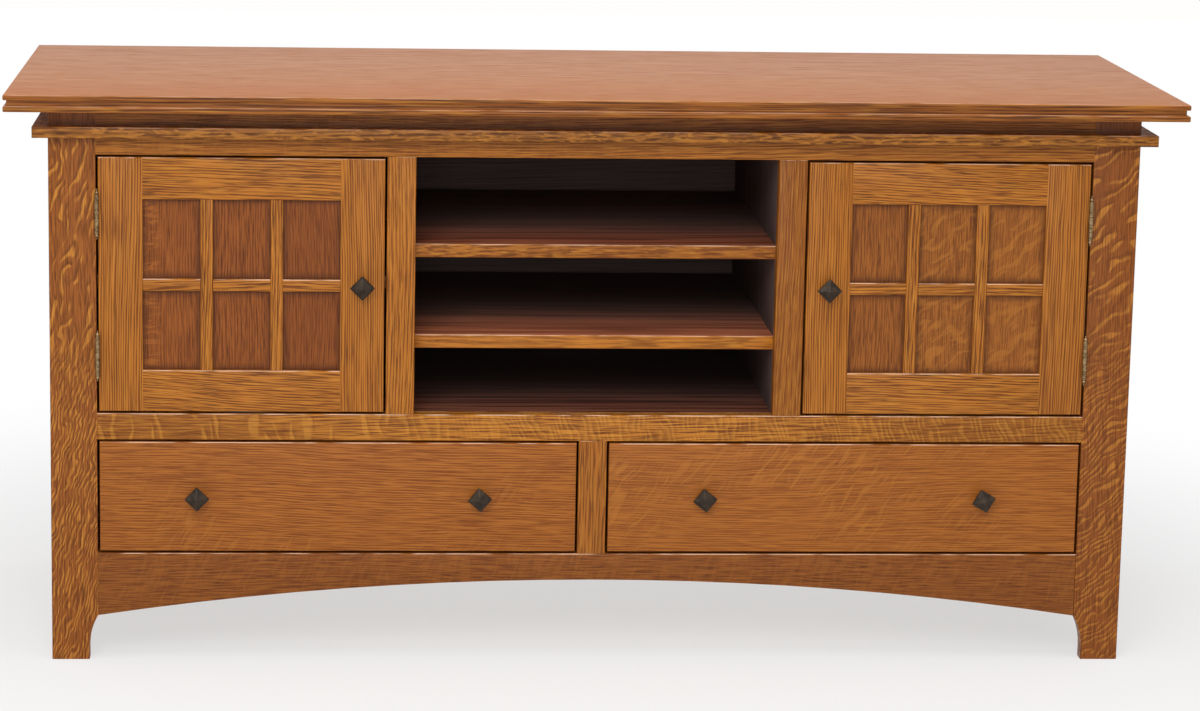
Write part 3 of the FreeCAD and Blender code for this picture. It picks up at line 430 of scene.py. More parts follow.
# Depths in metres over which the painted shade inside the case comes in
DEPTH_SHADE_FROM, DEPTH_SHADE_FULL_AT = (BEHIND - 0.5) * MM, 40.0 * MM
PANEL = dict(contrast=1.5, line=0.6)
INSIDE = dict(run=(3, 90), ring=(30.0, 0.1), gloss=0.6, strip=0.11, shine=0.0)

Oak("oak_top", (162, 89, 32), (190, 116, 46), (142, 77, 28), run=(14, 480), ring=(5.0, 0.1), contrast=0.4,
    line=0.4, strip=0.128, shine=0.16).done()
Oak("oak_edge", (96, 52, 18), (150, 88, 33), (66, 34, 11), run=(9, 640), ring=(2.6, 0.2), wander=0.25,
    line=0.5).streaks(OAK_GOLD, 0.4).done()
Oak("oak_leg", (121, 64, 22), (156, 90, 33), OAK_PORE, run=(26, 700), ring=(3.6, 0.06), contrast=1.1,
    line=0.6).wavy_rays((205, 136, 52), widens=(0.42, 0.66), rim=0.65).painted_shade_under_top().done()
Oak("oak_rail", OAK_DARK, OAK_LIGHT, OAK_PORE, run=(18, 760), ring=(4.2, 0.15), contrast=1.5).streaks(
    OAK_GOLD, 0.45).rays(OAK_FLAKE, soft=0.11, rim=0.3, ripples=(0.78, 0.62)).painted_shade_under_top().done()
Oak("oak_flame", OAK_DARK, (196, 125, 44), OAK_PORE, run=(18, 760), ring=(4.2, 0.12), contrast=1.5,
    swell=3.4).streaks(OAK_GOLD, 0.5).wavy_rays((202, 138, 52), widens=(0.46, 0.30), rim=0.4).done()
# The cornice's oak is darker than the rails': painted shade from the top's overhang.
Oak("oak_cornice", (98, 54, 17), (156, 96, 34), (70, 36, 11), run=(18, 720), wander=0.6, line=0.5).streaks(
    OAK_GOLD, 0.4).rays((184, 120, 44), soft=0.1).done()
Oak("oak_apron", (118, 62, 22), (148, 87, 32), OAK_PORE, run=(24, 760), ring=(4.0, 0.08), contrast=1.4,
    line=0.6).rays((152, 92, 36)).done()
Oak("oak_stile", OAK_DARK, OAK_LIGHT, OAK_PORE, run=(12, 660), ring=(3.2, 0.24), contrast=0.9,
    line=0.5).streaks(OAK_GOLD, 0.35).done()
Oak("oak_door", OAK_DARK, OAK_LIGHT, OAK_PORE, run=(17, 700), ring=(3.6, 0.15), contrast=1.6,
    line=0.9).streaks(OAK_GOLD, 0.6).done()
Oak("left_panel", (112, 56, 19), (148, 82, 29), PANEL_PORE, run=(26, 800), ring=(3.4, 0.12), wander=1.5,
    **PANEL).rays((166, 97, 37), sparse=0.53, column=(0.40, 0.22)).columns(0.1, 0.05, -0.3).painted_rim_shade(
    0.18, 0.13).done()
Oak("right_panel", (120, 65, 21), (162, 96, 35), PANEL_PORE, run=(30, 800), ring=(3.4, 0.10), wander=1.6,
    **PANEL).rays((182, 117, 46), sparse=0.55, soft=0.09, column=(0.9, 1.1)).columns(
    -0.2, 0.15, 0.3).painted_rim_shade(0.18, 0.13).done()
Oak("panel_back", (112, 58, 20), (152, 86, 31), PANEL_PORE, run=(26, 800), ring=(3.4, 0.12), wander=1.5,
    **PANEL).done()
Oak("oak_end", (116, 58, 18), (156, 88, 30), (72, 34, 11), run=(30, 560), wander=1.5, line=0.6).rays(
    (178, 108, 38), patchy=True).painted_rim_shade(0.035, 0.03).done()
Oak("oak_drawer", (132, 70, 22), (168, 99, 36), (100, 52, 17), run=(18, 700), ring=(3.2, 0.18), wander=1.4,
    contrast=1.3, line=0.5).streaks((190, 122, 50), 0.45).rays(
    (178, 112, 44), soft=0.1, rim=0.3, patchy=True).done()
Oak("oak_inside", (112, 60, 43), (180, 107, 75), (68, 37, 26), contrast=1.4, **INSIDE).painted_depth_shade().done()
# A darker copy of the inside oak for the deck, which takes more light than the shelves: painted shade.
Oak("oak_deck_shaded", (84, 47, 37), (128, 80, 62), (54, 31, 24), contrast=1.2, **INSIDE).painted_depth_shade().done()
# The back and the dividers take a flat grey-brown, the tone of shade deep in the bay rather than the stain:
# painted shade.
Oak("oak_back", (94, 78, 75), (110, 93, 89), (82, 68, 65), run=(7, 300), line=0.4, contrast=0.6, gloss=0.7,
    shine=0.0).done()
Oak("oak_ply", (118, 66, 28), (156, 96, 46), (86, 46, 18), run=(8, 300), ring=(14.0, 0.12), wander=3.0,
    gloss=0.55, strip=0.21).done()
Oak("plain_wood", (172, 136, 92), (208, 176, 132), (150, 114, 74), run=(8, 300), ring=(6.0, 0.15), line=0.4,
    gloss=0.6).done()
Oak("maple_box", (206, 170, 122), (230, 200, 156), (190, 150, 104), run=(8, 260), ring=(6.0, 0.08),
    contrast=0.8, line=0.3, gloss=0.42).done()


def bronze():
    """Dark bronze, oiled and hammered."""
    metal = Finish("dark_bronze", Metallic=0.45, Specular_IOR_Level=0.3)
    patches = metal.speckle(110.0)
    dents = metal.speckle(420.0, detail=1.0)
    colour = metal.blend(metal.rise(patches, low=0.35, high=0.7), (44, 36, 29), (66, 54, 42))
    metal.keep(colour, 0.32 + patches * 0.2, dents, depth=0.3 * MM)


def brass():
    """Brass that has tarnished in clouds."""
    metal = Finish("antique_brass", Metallic=0.9)
    tarnish = metal.speckle(240.0, detail=3.0, roughness=0.65)
    colour = metal.blend(metal.rise(tarnish, low=0.30, high=0.66), (104, 84, 55), (160, 135, 100))
    metal.keep(colour, 0.20 + tarnish * 0.25, tarnish, depth=0.1 * MM)


def zinc(name, shade_depths=None):
    """Zinc plated steel. The last argument gives the depth at which painted shade, near black, starts on the
    front end and where it is full.
    """
    metal = Finish(name, Metallic=0.95)
    place = metal.place()
    brushed = metal.clouds(metal.stretch(place, (60.0, 8.0, 900.0)), detail=3.0, roughness=0.6)
    bloom = metal.speckle(45.0)
    colour = metal.blend(metal.rise(bloom, low=0.3, high=0.7), (176, 178, 180), (206, 207, 206))
    if shade_depths:
        # Painted shade: the front end of the slide goes near black.
        colour = metal.blend(metal.rise(metal.split(place)[Y], *shade_depths), colour, (16, 14, 13))
    metal.keep(colour, 0.26 + brushed * 0.22, brushed, depth=0.06 * MM)


def moulded_brown():
    """Brown plastic with a fine moulded grain."""
    plastic = Finish("brown_plastic")
    grain = plastic.speckle(900.0)
    cloud = plastic.speckle(70.0, detail=1.0)
    colour = plastic.blend(cloud, (66, 40, 24), (84, 54, 32))
    plastic.keep(colour, 0.45 + grain * 0.15, grain, depth=0.08 * MM)


bronze()
brass()
zinc("zinc_steel")
# Slide steel whose front ends take painted shade, near black.
zinc("slide_steel_shaded_front", shade_depths=((BEHIND + 6.5) * MM, (BEHIND + 1.0) * MM))
moulded_brown()


# Pieces

MERGES = 0.003 * MM
FLAT, SHARP = 0.002, 0.5  # angles between faces, in radians
FACES = 0.6  # share of a normal that counts as facing a way
LEANS = 0.3  # and as leaning that way
WOOD_CREASE, METAL_CREASE = 24, 30  # angles above which an edge stays sharp, in degrees
CUT_FROM = (9, 3, 3)  # how far along, across and through the wood a board may lie, in metres
RAY_THROUGH = 4.0  # length of the ray figure through the wood, in mm
RAY_STRAY = 6  # how far its angle may stray, in degrees
RAY_APART = 7  # how many lengths of it lie between boards a metre apart


def placed(name, data):
    """Puts a mesh, a light or a camera in the scene."""
    item = bpy.data.objects.new(name, data)
    bpy.context.scene.collection.objects.link(item)
    return item


def finished(name, mesh, body, replaced=()):
    """Puts a mesh in the scene as a piece that rides on a body."""
    piece = placed(name, mesh)
    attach(piece, body)
    if replaced:
        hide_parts(*replaced)


def meshed(name, bm):
    """Closes a worked shape as a mesh."""
    mesh = bpy.data.meshes.new(name)
    bm.to_mesh(mesh)
    bm.free()
    return mesh


def islands(bm):
    """The separate bodies of a mesh as lists of vertices, from below and from the left."""
    left = set(bm.verts)
    found = []
    while left:
        reached = [left.pop()]
        for vert in reached:
            for edge in vert.link_edges:
                other = edge.other_vert(vert)
                if other in left:
                    left.remove(other)
                    reached.append(other)
        found.append(reached)
    found.sort(key=lambda verts: tuple(round(min(v.co[axis] for v in verts), 5) for axis in (Z, X, Y)))
    return found


def sharp_by_angle(mesh, degrees):
    mesh.polygons.foreach_set("use_smooth", [True] * len(mesh.polygons))
    mesh.set_sharp_from_angle(angle=math.radians(degrees))


def sanded(node, width):
    """A merged copy of a CAD node whose sharp corners are rounded by a width in mm."""
    bm = bmesh.new()
    bm.from_mesh(frame["nodes"][node].data)
    bmesh.ops.remove_doubles(bm, verts=bm.verts, dist=MERGES)
    bmesh.ops.dissolve_limit(bm, angle_limit=FLAT, verts=bm.verts, edges=bm.edges)
    sharp = [edge for edge in bm.edges if edge.is_manifold and edge.calc_face_angle() > SHARP]
    bmesh.ops.bevel(bm, geom=sharp, offset=width * MM, offset_type="OFFSET", segments=2, profile=0.5,
                    affect="EDGES", clamp_overlap=True)
    return bm


def looks_front(normal):
    return normal.y < -FACES


def looks_back(normal):
    return normal.y > FACES


def looks_aside(normal):
    return abs(normal.z) < FACES


def boards(node, finish, axis=None, ray=(0.0, 0.0, 10.0, 34.0, 6.0), tone=(0.0, 0.0, 0.35),
           slope=(-0.02, 0.02), soften=0.35, each=(), highlighted=1.0, show=None, panes=None):
    """A node's boards with grain along axis, or along each board's length.
    ray is its share at the start and at the end, its angle to the grain in degrees, and its length and
    width in mm. tone is at the start and at the end, and how far it may stray; each adds to it
    board by board, from below and from the left. slope is the least and most that the grain leans.
    highlighted is the strength of the painted highlight on the upper front edges. show is another finish
    and a test for the faces that take it. panes is how many a panel shows each way, and the width of
    the bars between them and of its hidden rim in mm."""
    chance = random.Random(node)
    bm = sanded(node, soften)
    grain, flake, figure, pane = [bm.verts.layers.float_vector.new(name)
                                  for name in ("grain", "flake", "figure", "pane")]
    arris = bm.faces.layers.float.new("arris")
    begins, ends, angle, length, width = ray
    for number, verts in enumerate(islands(bm)):
        low = [min(v.co[i] for v in verts) for i in (X, Y, Z)]
        size = [max(v.co[i] for v in verts) - low[i] for i in (X, Y, Z)]
        u = "xyz".index(axis) if axis else size.index(max(size))
        v, w = sorted((i for i in (X, Y, Z) if i != u), key=lambda i: -size[i])
        start = Vector([chance.uniform(0, reach) for reach in CUT_FROM])
        lean = chance.uniform(*slope)
        turn = math.radians(angle + chance.uniform(-RAY_STRAY, RAY_STRAY))
        stray = chance.uniform(-tone[2], tone[2]) + (each[number] if each else 0.0)
        for vert in verts:
            a, b, c = vert.co[u], vert.co[v], vert.co[w]
            reached = (a - low[u]) / size[u]
            vert[grain] = start + Vector((a, b + lean * a, c))
            run = a * math.cos(turn) + b * math.sin(turn)
            cross = b * math.cos(turn) - a * math.sin(turn)
            lengths = Vector((run / (length * MM), cross / (width * MM), c / (RAY_THROUGH * MM)))
            vert[flake] = start * RAY_APART + lengths
            vert[figure] = Vector((tone[0] + (tone[1] - tone[0]) * reached + stray,
                                   begins + (ends - begins) * reached, reached))
            if panes:
                counts, bar, rim = panes
                pitches = [(size[i] - (2 * rim - bar) * MM) / count for i, count in zip((v, u), counts)]
                vert[pane] = Vector([(vert.co[i] - low[i] - (rim - bar / 2) * MM) / pitch
                                     for i, pitch in zip((v, u), pitches)] + [0.0])
    for face in bm.faces:
        # Edges that face up and to the front take a painted highlight.
        face[arris] = highlighted * (face.normal.z > LEANS and face.normal.y < -LEANS)
        face.material_index = int(bool(show) and show[1](face.normal))
    mesh = meshed(node + "_wood", bm)
    sharp_by_angle(mesh, WOOD_CREASE)
    mesh.materials.append(FINISHES[finish])
    if show:
        mesh.materials.append(FINISHES[show[0]])
    finished(node + "_wood", mesh, BODY_OF[node], [node])


def carcase():
    boards("top_slab", "oak_top", slope=(-0.004, 0.004), highlighted=0.4, show=("oak_edge", looks_aside))
    for node in ("cornice_front", "cornice_returns"):
        boards(node, "oak_cornice", ray=(0.7, 0.7, 86, 30, 16), tone=(0.0, 0.0, 0.1), highlighted=0.4)
    boards("left_front_leg", "oak_leg", ray=(0.55, 0.78, 14, 22, 5.0), tone=(0.4, 0.3, 0.0))
    boards("right_front_leg", "oak_leg", ray=(0.4, 0.6, 54, 24, 7.5), tone=(-0.8, -0.9, 0.0))
    boards("top_rail", "oak_rail", ray=(0.2, 0.0, 84, 24, 10), tone=(-1.0, -1.0, 0.0))
    boards("middle_rail", "oak_flame", ray=(0.5, 0.35, 105, 30, 8), tone=(-3.0, -3.6, 0.0), soften=0.5)
    boards("arched_apron", "oak_apron", ray=(0.25, 0.25, 70, 40, 9), tone=(0.0, 0.0, 0.0), soften=0.5)
    boards("mullions", "oak_rail", ray=(0.12, 0.0, 20, 30, 6), tone=(0.0, 0.0, 0.0), each=(-1.0, 0.8, -1.6))
    for side, _ in SIDES:
        boards(side + "_end_stile", "oak_leg", ray=(0.6, 0.6, 30, 40, 7))
        boards(side + "_rear_leg", "oak_leg", ray=(0.6, 0.6, -24, 40, 7))
        boards(side + "_end_rails", "oak_rail", ray=(0.5, 0.5, 76, 28, 9), tone=(-0.2, -0.2, 0.2))
        boards(side + "_end_panel", "oak_end", axis="z", ray=(0.7, 0.7, 60, 40, 8), panes=((1, 1), 0, 8))
    boards("back_panel", "oak_back", axis="x", tone=(0.0, 0.0, 0.0), show=("oak_ply", looks_back))
    boards("bay_dividers", "oak_back", axis="z")
    boards("cabinet_deck", "oak_deck_shaded", axis="x")
    for node, each in (("cabinet_shelves", (0.0, 0.0)), ("bay_shelves", (1.4, -1.2))):
        boards(node, "oak_inside", axis="x", show=("oak_rail", looks_front), ray=(0.2, 0.0, 75, 30, 8),
               tone=(0.0, 0.0, 0.0), slope=(-0.06, 0.06), each=each)
    for node in ("bottom_panel", "drawer_partition", "slide_blocks"):
        boards(node, "plain_wood")


def doors():
    for side, _ in SIDES:
        boards(side + "_door_hinge_stile", "oak_stile", slope=(-0.004, 0.004))
        boards(side + "_door_knob_stile", "oak_stile", slope=(-0.012, 0.012))
        boards(side + "_door_rails", "oak_door", slope=(0.02, 0.06), tone=(0.2, 0.2, 0.1))
        boards(side + "_door_muntins", "oak_door", slope=(-0.012, 0.012), tone=(-0.2, -0.2, 0.3), soften=0.3)
    for side, ray in (("left", (0.6, 0.6, 88, 24, 4.0)), ("right", (0.45, 0.45, 60, 26, 10))):
        boards(side + "_door_panel", side + "_panel", axis="z", ray=ray, panes=((3, 2), 16, 8),
               show=("panel_back", looks_back))


def drawers():
    for side, sign in SIDES:
        tone = 0.35 + 0.5 * sign
        boards(side + "_drawer_front", "oak_drawer", ray=(0.5 + 0.15 * sign, 0.3, 54, 40, 6),
               slope=(-0.01, 0.01), soften=0.6, tone=(tone, tone, 0.0))
        for piece in ("sides", "box_ends", "bottom"):
            boards(f"{side}_drawer_{piece}", "maple_box", soften=0.25)


# Turned and cast metal

def circle(count):
    return [(math.cos(math.tau * i / count), math.sin(math.tau * i / count)) for i in range(count)]


ROUND = circle(28)
UPRIGHT = Matrix.Identity(3)
OUTWARD = Matrix(((1, 0, 0), (0, 0, -1), (0, 1, 0)))


def rounded_square(corner=0.10, steps=7, corner_steps=4):
    """A square of half width 1 with rounded corners, anticlockwise."""
    points = []
    for quarter in range(4):
        turn = Matrix.Rotation(quarter * math.pi / 2, 2)
        side = [Vector((1, -1 + corner + (2 - 2 * corner) * i / steps)) for i in range(steps)]
        centre = Vector((1 - corner, 1 - corner))
        angles = [i * math.pi / 2 / corner_steps for i in range(corner_steps)]
        arc = [centre + corner * Vector((math.cos(angle), math.sin(angle))) for angle in angles]
        points += [tuple(turn @ point) for point in side + arc]
    return points


def wall(bm, low, high):
    """Faces between two rings of vertices."""
    for i in range(len(low)):
        bm.faces.new((low[i - 1], low[i], high[i], high[i - 1]))


def turned(bm, profile, place, facing=UPRIGHT, section=ROUND, hollow=False):
    """Sweeps a profile of (radius, height) in mm round an axis; a hollow profile is a closed loop."""
    rings = [[bm.verts.new(Vector(place) * MM + facing @ Vector((radius * x, radius * y, height)) * MM)
              for x, y in section] for radius, height in profile]
    following = rings[1:] + rings[:1] if hollow else rings[1:]
    for low, high in zip(rings, following):
        wall(bm, low, high)
    if not hollow:
        bm.faces.new(list(reversed(rings[0])))
        bm.faces.new(rings[-1])
    return rings


def block(bm, low, high):
    """A square-edged block between two corners in mm."""
    made = bmesh.ops.create_cube(bm, size=1.0)
    for vert in made["verts"]:
        vert.co = Vector([(low[i] if vert.co[i] < 0 else high[i]) * MM for i in (X, Y, Z)])


def cast(name, bm, body, slot, replaced, finish=None):
    """Turns a worked shape into a piece, with the finish of its slot or another."""
    mesh = meshed(name, bm)
    sharp_by_angle(mesh, METAL_CREASE)
    mesh.materials.append(FINISHES[finish or slot])
    finished(name, mesh, body, replaced)


KNOB_FOOT = [(7.6, 0.0), (7.9, 0.5), (7.6, 1.3), (6.6, 2.0), (5.9, 3.2), (5.6, 5.5), (5.8, 8.0), (6.4, 10.6)]
KNOB_HEAD = [(6.0, 9.9), (6.5, 10.1), (8.9, 12.0), (11.1, 13.7), (11.5, 14.2), (11.5, 15.3), (11.5, 16.1)]
PYRAMID_FOOT, PYRAMID_TIP, PYRAMID_STEPS = (11.1, 16.7), (0.8, 23.7), 8
KNOB_POINT = (0.35, 23.95)
HAMMERED = (13.0, 23.5)  # between which heights, in mm
DENTS = ((260, 0.28), (620, 0.12))  # how many a metre and how deep, in mm
DOOR_KNOB_TURN = 0.5  # in degrees, off standing on its corner
DRAWER_KNOB_TURNS = ((5, 0.5), (7, 15))  # inner and outer knob of the left and of the right drawer


def pyramid_knob(bm, x, z, turn):
    """A hammered square knob: round foot and waist, then a low pyramid that stands on its corner."""
    place = (x, FACE, z)
    turned(bm, KNOB_FOOT, place, OUTWARD)
    slope = []
    for i in range(PYRAMID_STEPS + 1):
        part = i / PYRAMID_STEPS
        slope.append([foot + (tip - foot) * part for foot, tip in zip(PYRAMID_FOOT, PYRAMID_TIP)])
    head = KNOB_HEAD + slope + [KNOB_POINT]
    spun = OUTWARD @ Matrix.Rotation(math.radians(45 + turn), 3, "Z")
    for ring, (_, height) in zip(turned(bm, head, place, spun, rounded_square()), head):
        if HAMMERED[0] < height < HAMMERED[1]:
            for vert in ring:
                vert.co.y -= sum(noise.noise(vert.co * often) * deep for often, deep in DENTS) * MM


def knobs():
    for side, sign in SIDES:
        bm = bmesh.new()
        pyramid_knob(bm, sign * DOOR_KNOB_X, DOOR_KNOB_Z, DOOR_KNOB_TURN)
        cast(side + "_door_pull", bm, side + "_door", "dark_bronze", [side + "_door_knob"])
    for (side, sign), turns in zip(SIDES, DRAWER_KNOB_TURNS):
        bm = bmesh.new()
        for x, turn in sorted((sign * x, turn) for x, turn in zip(DRAWER_KNOBS_X, turns)):
            pyramid_knob(bm, x, DRAWER_KNOB_Z, turn)
        cast(side + "_drawer_pulls", bm, side + "_drawer", "dark_bronze", [side + "_drawer_knobs"])


# Hinges, in mm

HINGE_INSET = 73.75  # from an end of the door to the middle of a hinge
HINGE_HEIGHTS = (DOOR_BOTTOM + HINGE_INSET, DOOR_TOP - HINGE_INSET)
BARREL, BARREL_RADIUS, BARREL_OFF = 51.0, 3.1, 0.3
KNUCKLES, KNUCKLE_GAP, BORE = 5, 0.4, 1.66
CHAMFER, CHAMFER_RISE = 0.35, 0.4
GROOVES, GROOVE_DEEP, GROOVE_TOP, GROOVE_FLOOR = (2.4, 4.9, 7.4), 0.55, 0.55, 0.25
LEAF_DEEP, LEAF_GAP = 17.0, 0.6
HINGE_X = (LEG_EDGE + DOOR_EDGE) / 2
HINGE_Y = FACE - BARREL_RADIUS - BARREL_OFF
LEG_LEAF, DOOR_LEAF = HINGE_X + LEAF_GAP / 2, HINGE_X - LEAF_GAP / 2
NECK = (HINGE_Y + 1.6, FACE + 1.0)  # where a knuckle joins its leaf, front and back
HINGE_SCREWS = [(step, FACE + back) for step, back in ((-17.0, 12.0), (0.0, 7.0), (17.0, 12.0))]


def hinge_half(bm, sign, z, outer, inner, turns):
    """A leaf and its knuckles; turns are their numbers, counted from below."""
    low_x, high_x = sorted((sign * outer, sign * inner))
    block(bm, (low_x, FACE, z - BARREL / 2), (high_x, FACE + LEAF_DEEP, z + BARREL / 2))
    pitch = BARREL / KNUCKLES
    rim = BARREL_RADIUS - CHAMFER
    for number in turns:
        low = z - BARREL / 2 + number * pitch + KNUCKLE_GAP / 2
        high = low + pitch - KNUCKLE_GAP
        block(bm, (low_x, NECK[0], low), (high_x, NECK[1], high))
        loop = [(BORE, low), (rim, low), (BARREL_RADIUS, low + CHAMFER_RISE)]
        if number in (0, KNUCKLES - 1):
            for groove in GROOVES:
                for half, cut in ((-GROOVE_TOP, 0.0), (-GROOVE_FLOOR, GROOVE_DEEP),
                                  (GROOVE_FLOOR, GROOVE_DEEP), (GROOVE_TOP, 0.0)):
                    loop.append((BARREL_RADIUS - cut, low + groove + half))
        loop += [(BARREL_RADIUS, high - CHAMFER_RISE), (rim, high), (BORE, high)]
        turned(bm, loop, (sign * HINGE_X, HINGE_Y, 0.0), hollow=True)


def pin_profile(ball=2.55, ball_rise=2.9, nub=1.1):
    """A loose pin with a collar, a ball and a nub on each end, from below."""
    tip = [(1.6, 0.0), (2.6, 0.05), (2.7, 0.35), (2.35, 0.8), (1.75, 1.1)]
    for angle in (math.radians(degrees) for degrees in range(52, 181, 16)):
        if ball * math.sin(angle) > nub:
            tip.append((ball * math.sin(angle), ball_rise - ball * math.cos(angle)))
    tip += [(1.0, 5.35), (0.85, 6.4), (0.95, 7.0), (0.7, 7.6), (0.3, 7.8)]
    top = [(radius, BARREL / 2 + rise) for radius, rise in tip]
    return [(radius, -height) for radius, height in reversed(top)] + top


def hinges():
    leg = bmesh.new()
    pins = bmesh.new()
    for side, sign in SIDES:
        door = bmesh.new()
        for z in HINGE_HEIGHTS:
            hinge_half(leg, sign, z, LEG_EDGE, LEG_LEAF, range(0, KNUCKLES, 2))
            hinge_half(door, sign, z, DOOR_EDGE, DOOR_LEAF, range(1, KNUCKLES, 2))
            turned(pins, pin_profile(), (sign * HINGE_X, HINGE_Y, z))
        cast(side + "_door_hinges", door, side + "_door", "antique_brass", [side + "_door_hinge_leaves"])
    cast("leg_hinges", leg, "case", "antique_brass", ["hinge_leg_leaves"])
    cast("ball_tip_pins", pins, "case", "antique_brass", ["hinge_pins"])


def pressed(node, width=0.2, finish=None):
    """A pressed or moulded CAD shape with its corners broken."""
    cast(node + "_finished", sanded(node, width), BODY_OF[node], SLOT_OF[node], [node], finish)


def catches_and_slides():
    pressed("magnetic_catches", 0.8)
    pressed("slide_case_members", finish="slide_steel_shaded_front")
    for side, _ in SIDES:
        pressed(side + "_door_strike", 0.25)
        pressed(side + "_slide_middle_members", finish="slide_steel_shaded_front")
        pressed(side + "_slide_drawer_members", finish="slide_steel_shaded_front")


# Screws and pins, set by points

def point_tree():
    """Sets a copy of a shape on every point, turned to the point's aim and by chance round it."""
    tree = bpy.data.node_groups.new("set_on_points", "GeometryNodeTree")
    for name, kind in (("Points", "Geometry"), ("Shape", "Object"), ("Finish", "Material")):
        tree.interface.new_socket(name, in_out="INPUT", socket_type="NodeSocket" + kind)
    tree.interface.new_socket("Mesh", in_out="OUTPUT", socket_type="NodeSocketGeometry")

    def node(kind, settings=None, **inputs):
        return add_node(tree, kind, settings, inputs)

    given = node("NodeGroupInput").outputs
    aim = node("GeometryNodeInputNamedAttribute", {"data_type": "FLOAT_VECTOR"}, Name="aim")
    chance = node("FunctionNodeRandomValue", {"data_type": "FLOAT"}, Max=math.tau, Seed=7)
    amount = next(s for s in chance.outputs if s.enabled)
    spin = node("FunctionNodeAxisAngleToRotation", Axis=(0.0, 0.0, 1.0), Angle=amount).outputs[0]
    faced = node("FunctionNodeAlignRotationToVector", {"axis": "Z"}, Vector=aim.outputs["Attribute"],
                 Rotation=spin).outputs[0]
    shape = node("GeometryNodeObjectInfo", Object=given["Shape"]).outputs["Geometry"]
    copies = node("GeometryNodeInstanceOnPoints", Points=given["Points"], Instance=shape,
                  Rotation=faced).outputs[0]
    solid = node("GeometryNodeRealizeInstances", Geometry=copies).outputs[0]
    coated = node("GeometryNodeSetMaterial", Geometry=solid, Material=given["Finish"]).outputs[0]
    node("NodeGroupOutput", Mesh=coated)
    return tree


SET_ON_POINTS = point_tree()


def set_on_points(name, shape, spots, body, slot, replaced=()):
    """A copy of shape at each spot, given as its place in mm and the way that it faces."""
    mesh = bpy.data.meshes.new(name + "_points")
    mesh.from_pydata([Vector(place) * MM for place, _ in spots], [], [])
    aim = mesh.attributes.new("aim", "FLOAT_VECTOR", "POINT")
    aim.data.foreach_set("vector", [part for _, way in spots for part in way])
    points = placed(name + "_points", mesh)
    model = placed(name + "_model", shape)
    setter = points.modifiers.new("set", "NODES")
    setter.node_group = SET_ON_POINTS
    given = {"Shape": model, "Finish": FINISHES[slot]}
    for socket in SET_ON_POINTS.interface.items_tree:
        if socket.in_out == "INPUT" and socket.name in given:
            setter[socket.identifier] = given[socket.name]
    made = bpy.data.meshes.new_from_object(points.evaluated_get(bpy.context.evaluated_depsgraph_get()))
    for item in (points, model):
        bpy.data.objects.remove(item)
    made.name = name
    sharp_by_angle(made, METAL_CREASE)
    finished(name, made, body, replaced)


# Screw heads: depth of the recess and of the root below the top, and the least root, in mm
RECESS_DEEP, ROOT_DEEP, LEAST_ROOT = 0.9, 1.1, 0.4
# In shares of the radius: half the recess's width, how far a cross and a slot reach, and the flat top
RECESS_HALF, CROSS_REACH, SLOT_REACH, FLAT_TOP = 0.14, 0.55, 0.8, 0.9
RIM_HEIGHT = 0.55  # share of the height at which the rim starts to slope


def screw_head(radius, height, cross=True):
    """A flat screw head with a cross recess or a slot, seated at height 0; sizes in mm."""
    bm = bmesh.new()
    root, deep = min(-LEAST_ROOT, height - ROOT_DEEP), height - RECESS_DEEP
    profile = ((radius, root), (radius, height * RIM_HEIGHT), (radius * FLAT_TOP, height))
    rings = [[bm.verts.new((r * x * MM, r * y * MM, h * MM)) for x, y in circle(20)] for r, h in profile]
    for low, high in zip(rings, rings[1:]):
        wall(bm, low, high)
    bm.faces.new(list(reversed(rings[0])))
    w = RECESS_HALF * radius
    if cross:
        end = CROSS_REACH * radius
        loop = [(end, -w), (end, w), (w, w), (w, end), (-w, end), (-w, w), (-end, w), (-end, -w),
                (-w, -w), (-w, -end), (w, -end), (w, -w)]
    else:
        end = SLOT_REACH * radius
        loop = [(end, -w), (end, w), (-end, w), (-end, -w)]
    brim, recess = [[bm.verts.new((x * MM, y * MM, h * MM)) for x, y in loop] for h in (height, deep)]
    wall(bm, brim, recess)
    bm.faces.new(recess)
    edges = [bm.edges.get((ring[i - 1], ring[i])) for ring in (rings[-1], brim) for i in range(len(ring))]
    bmesh.ops.triangle_fill(bm, edges=edges, use_beauty=True, normal=(0, 0, 1))
    bmesh.ops.recalc_face_normals(bm, faces=bm.faces)
    return meshed("screw_head", bm)


PIN_RADIUS, PIN_SEAT = 2.5, 9.0  # of a shelf pin, and how deep it sits in the wood, in mm


def shelf_pin():
    """A steel shelf pin that points along its own height, with a groove and softened ends."""
    bm = bmesh.new()
    profile = [(1.9, 0.0), (PIN_RADIUS, 0.6), (PIN_RADIUS, 8.2), (2.2, 8.5), (2.2, 9.3), (PIN_RADIUS, 9.6),
               (PIN_RADIUS, 19.2), (2.1, 19.8), (1.6, 20.0)]
    turned(bm, profile, (0, 0, 0), section=ROUND[::2])
    return meshed("shelf_pin", bm)


def shelf_pins():
    outer = least("right_end_stile", X) + PIN_SEAT
    inner = most("bay_dividers", X) - PIN_SEAT
    z = least("cabinet_shelves", Z) - PIN_RADIUS
    pins = []
    for y in (middle("right_end_stile", Y), middle("right_rear_leg", Y)):
        for _, sign in SIDES:
            pins += [((sign * outer, y, z), (-sign, 0, 0)), ((sign * inner, y, z), (sign, 0, 0))]
    set_on_points("shelf_pin_set", shelf_pin(), pins, "case", "zinc_steel", ["shelf_pins"])


# Screws, in mm: how far from the middle of a strike, a catch or a drawer, and where along a slide
STRIKE_SCREW, STRIKE_SCREW_Z = 12.0, DOOR_BOTTOM + 6.5
CATCH_SCREW, DRAWER_SCREW, SLIDE_SCREW = 17.5, 263.5, 303.5
DRAWER_SCREWS_Z, SLIDE_SCREWS_Y = (195.0, 250.0), (-190.0, -10.0, 170.0)
BOX_THICK = 12.0
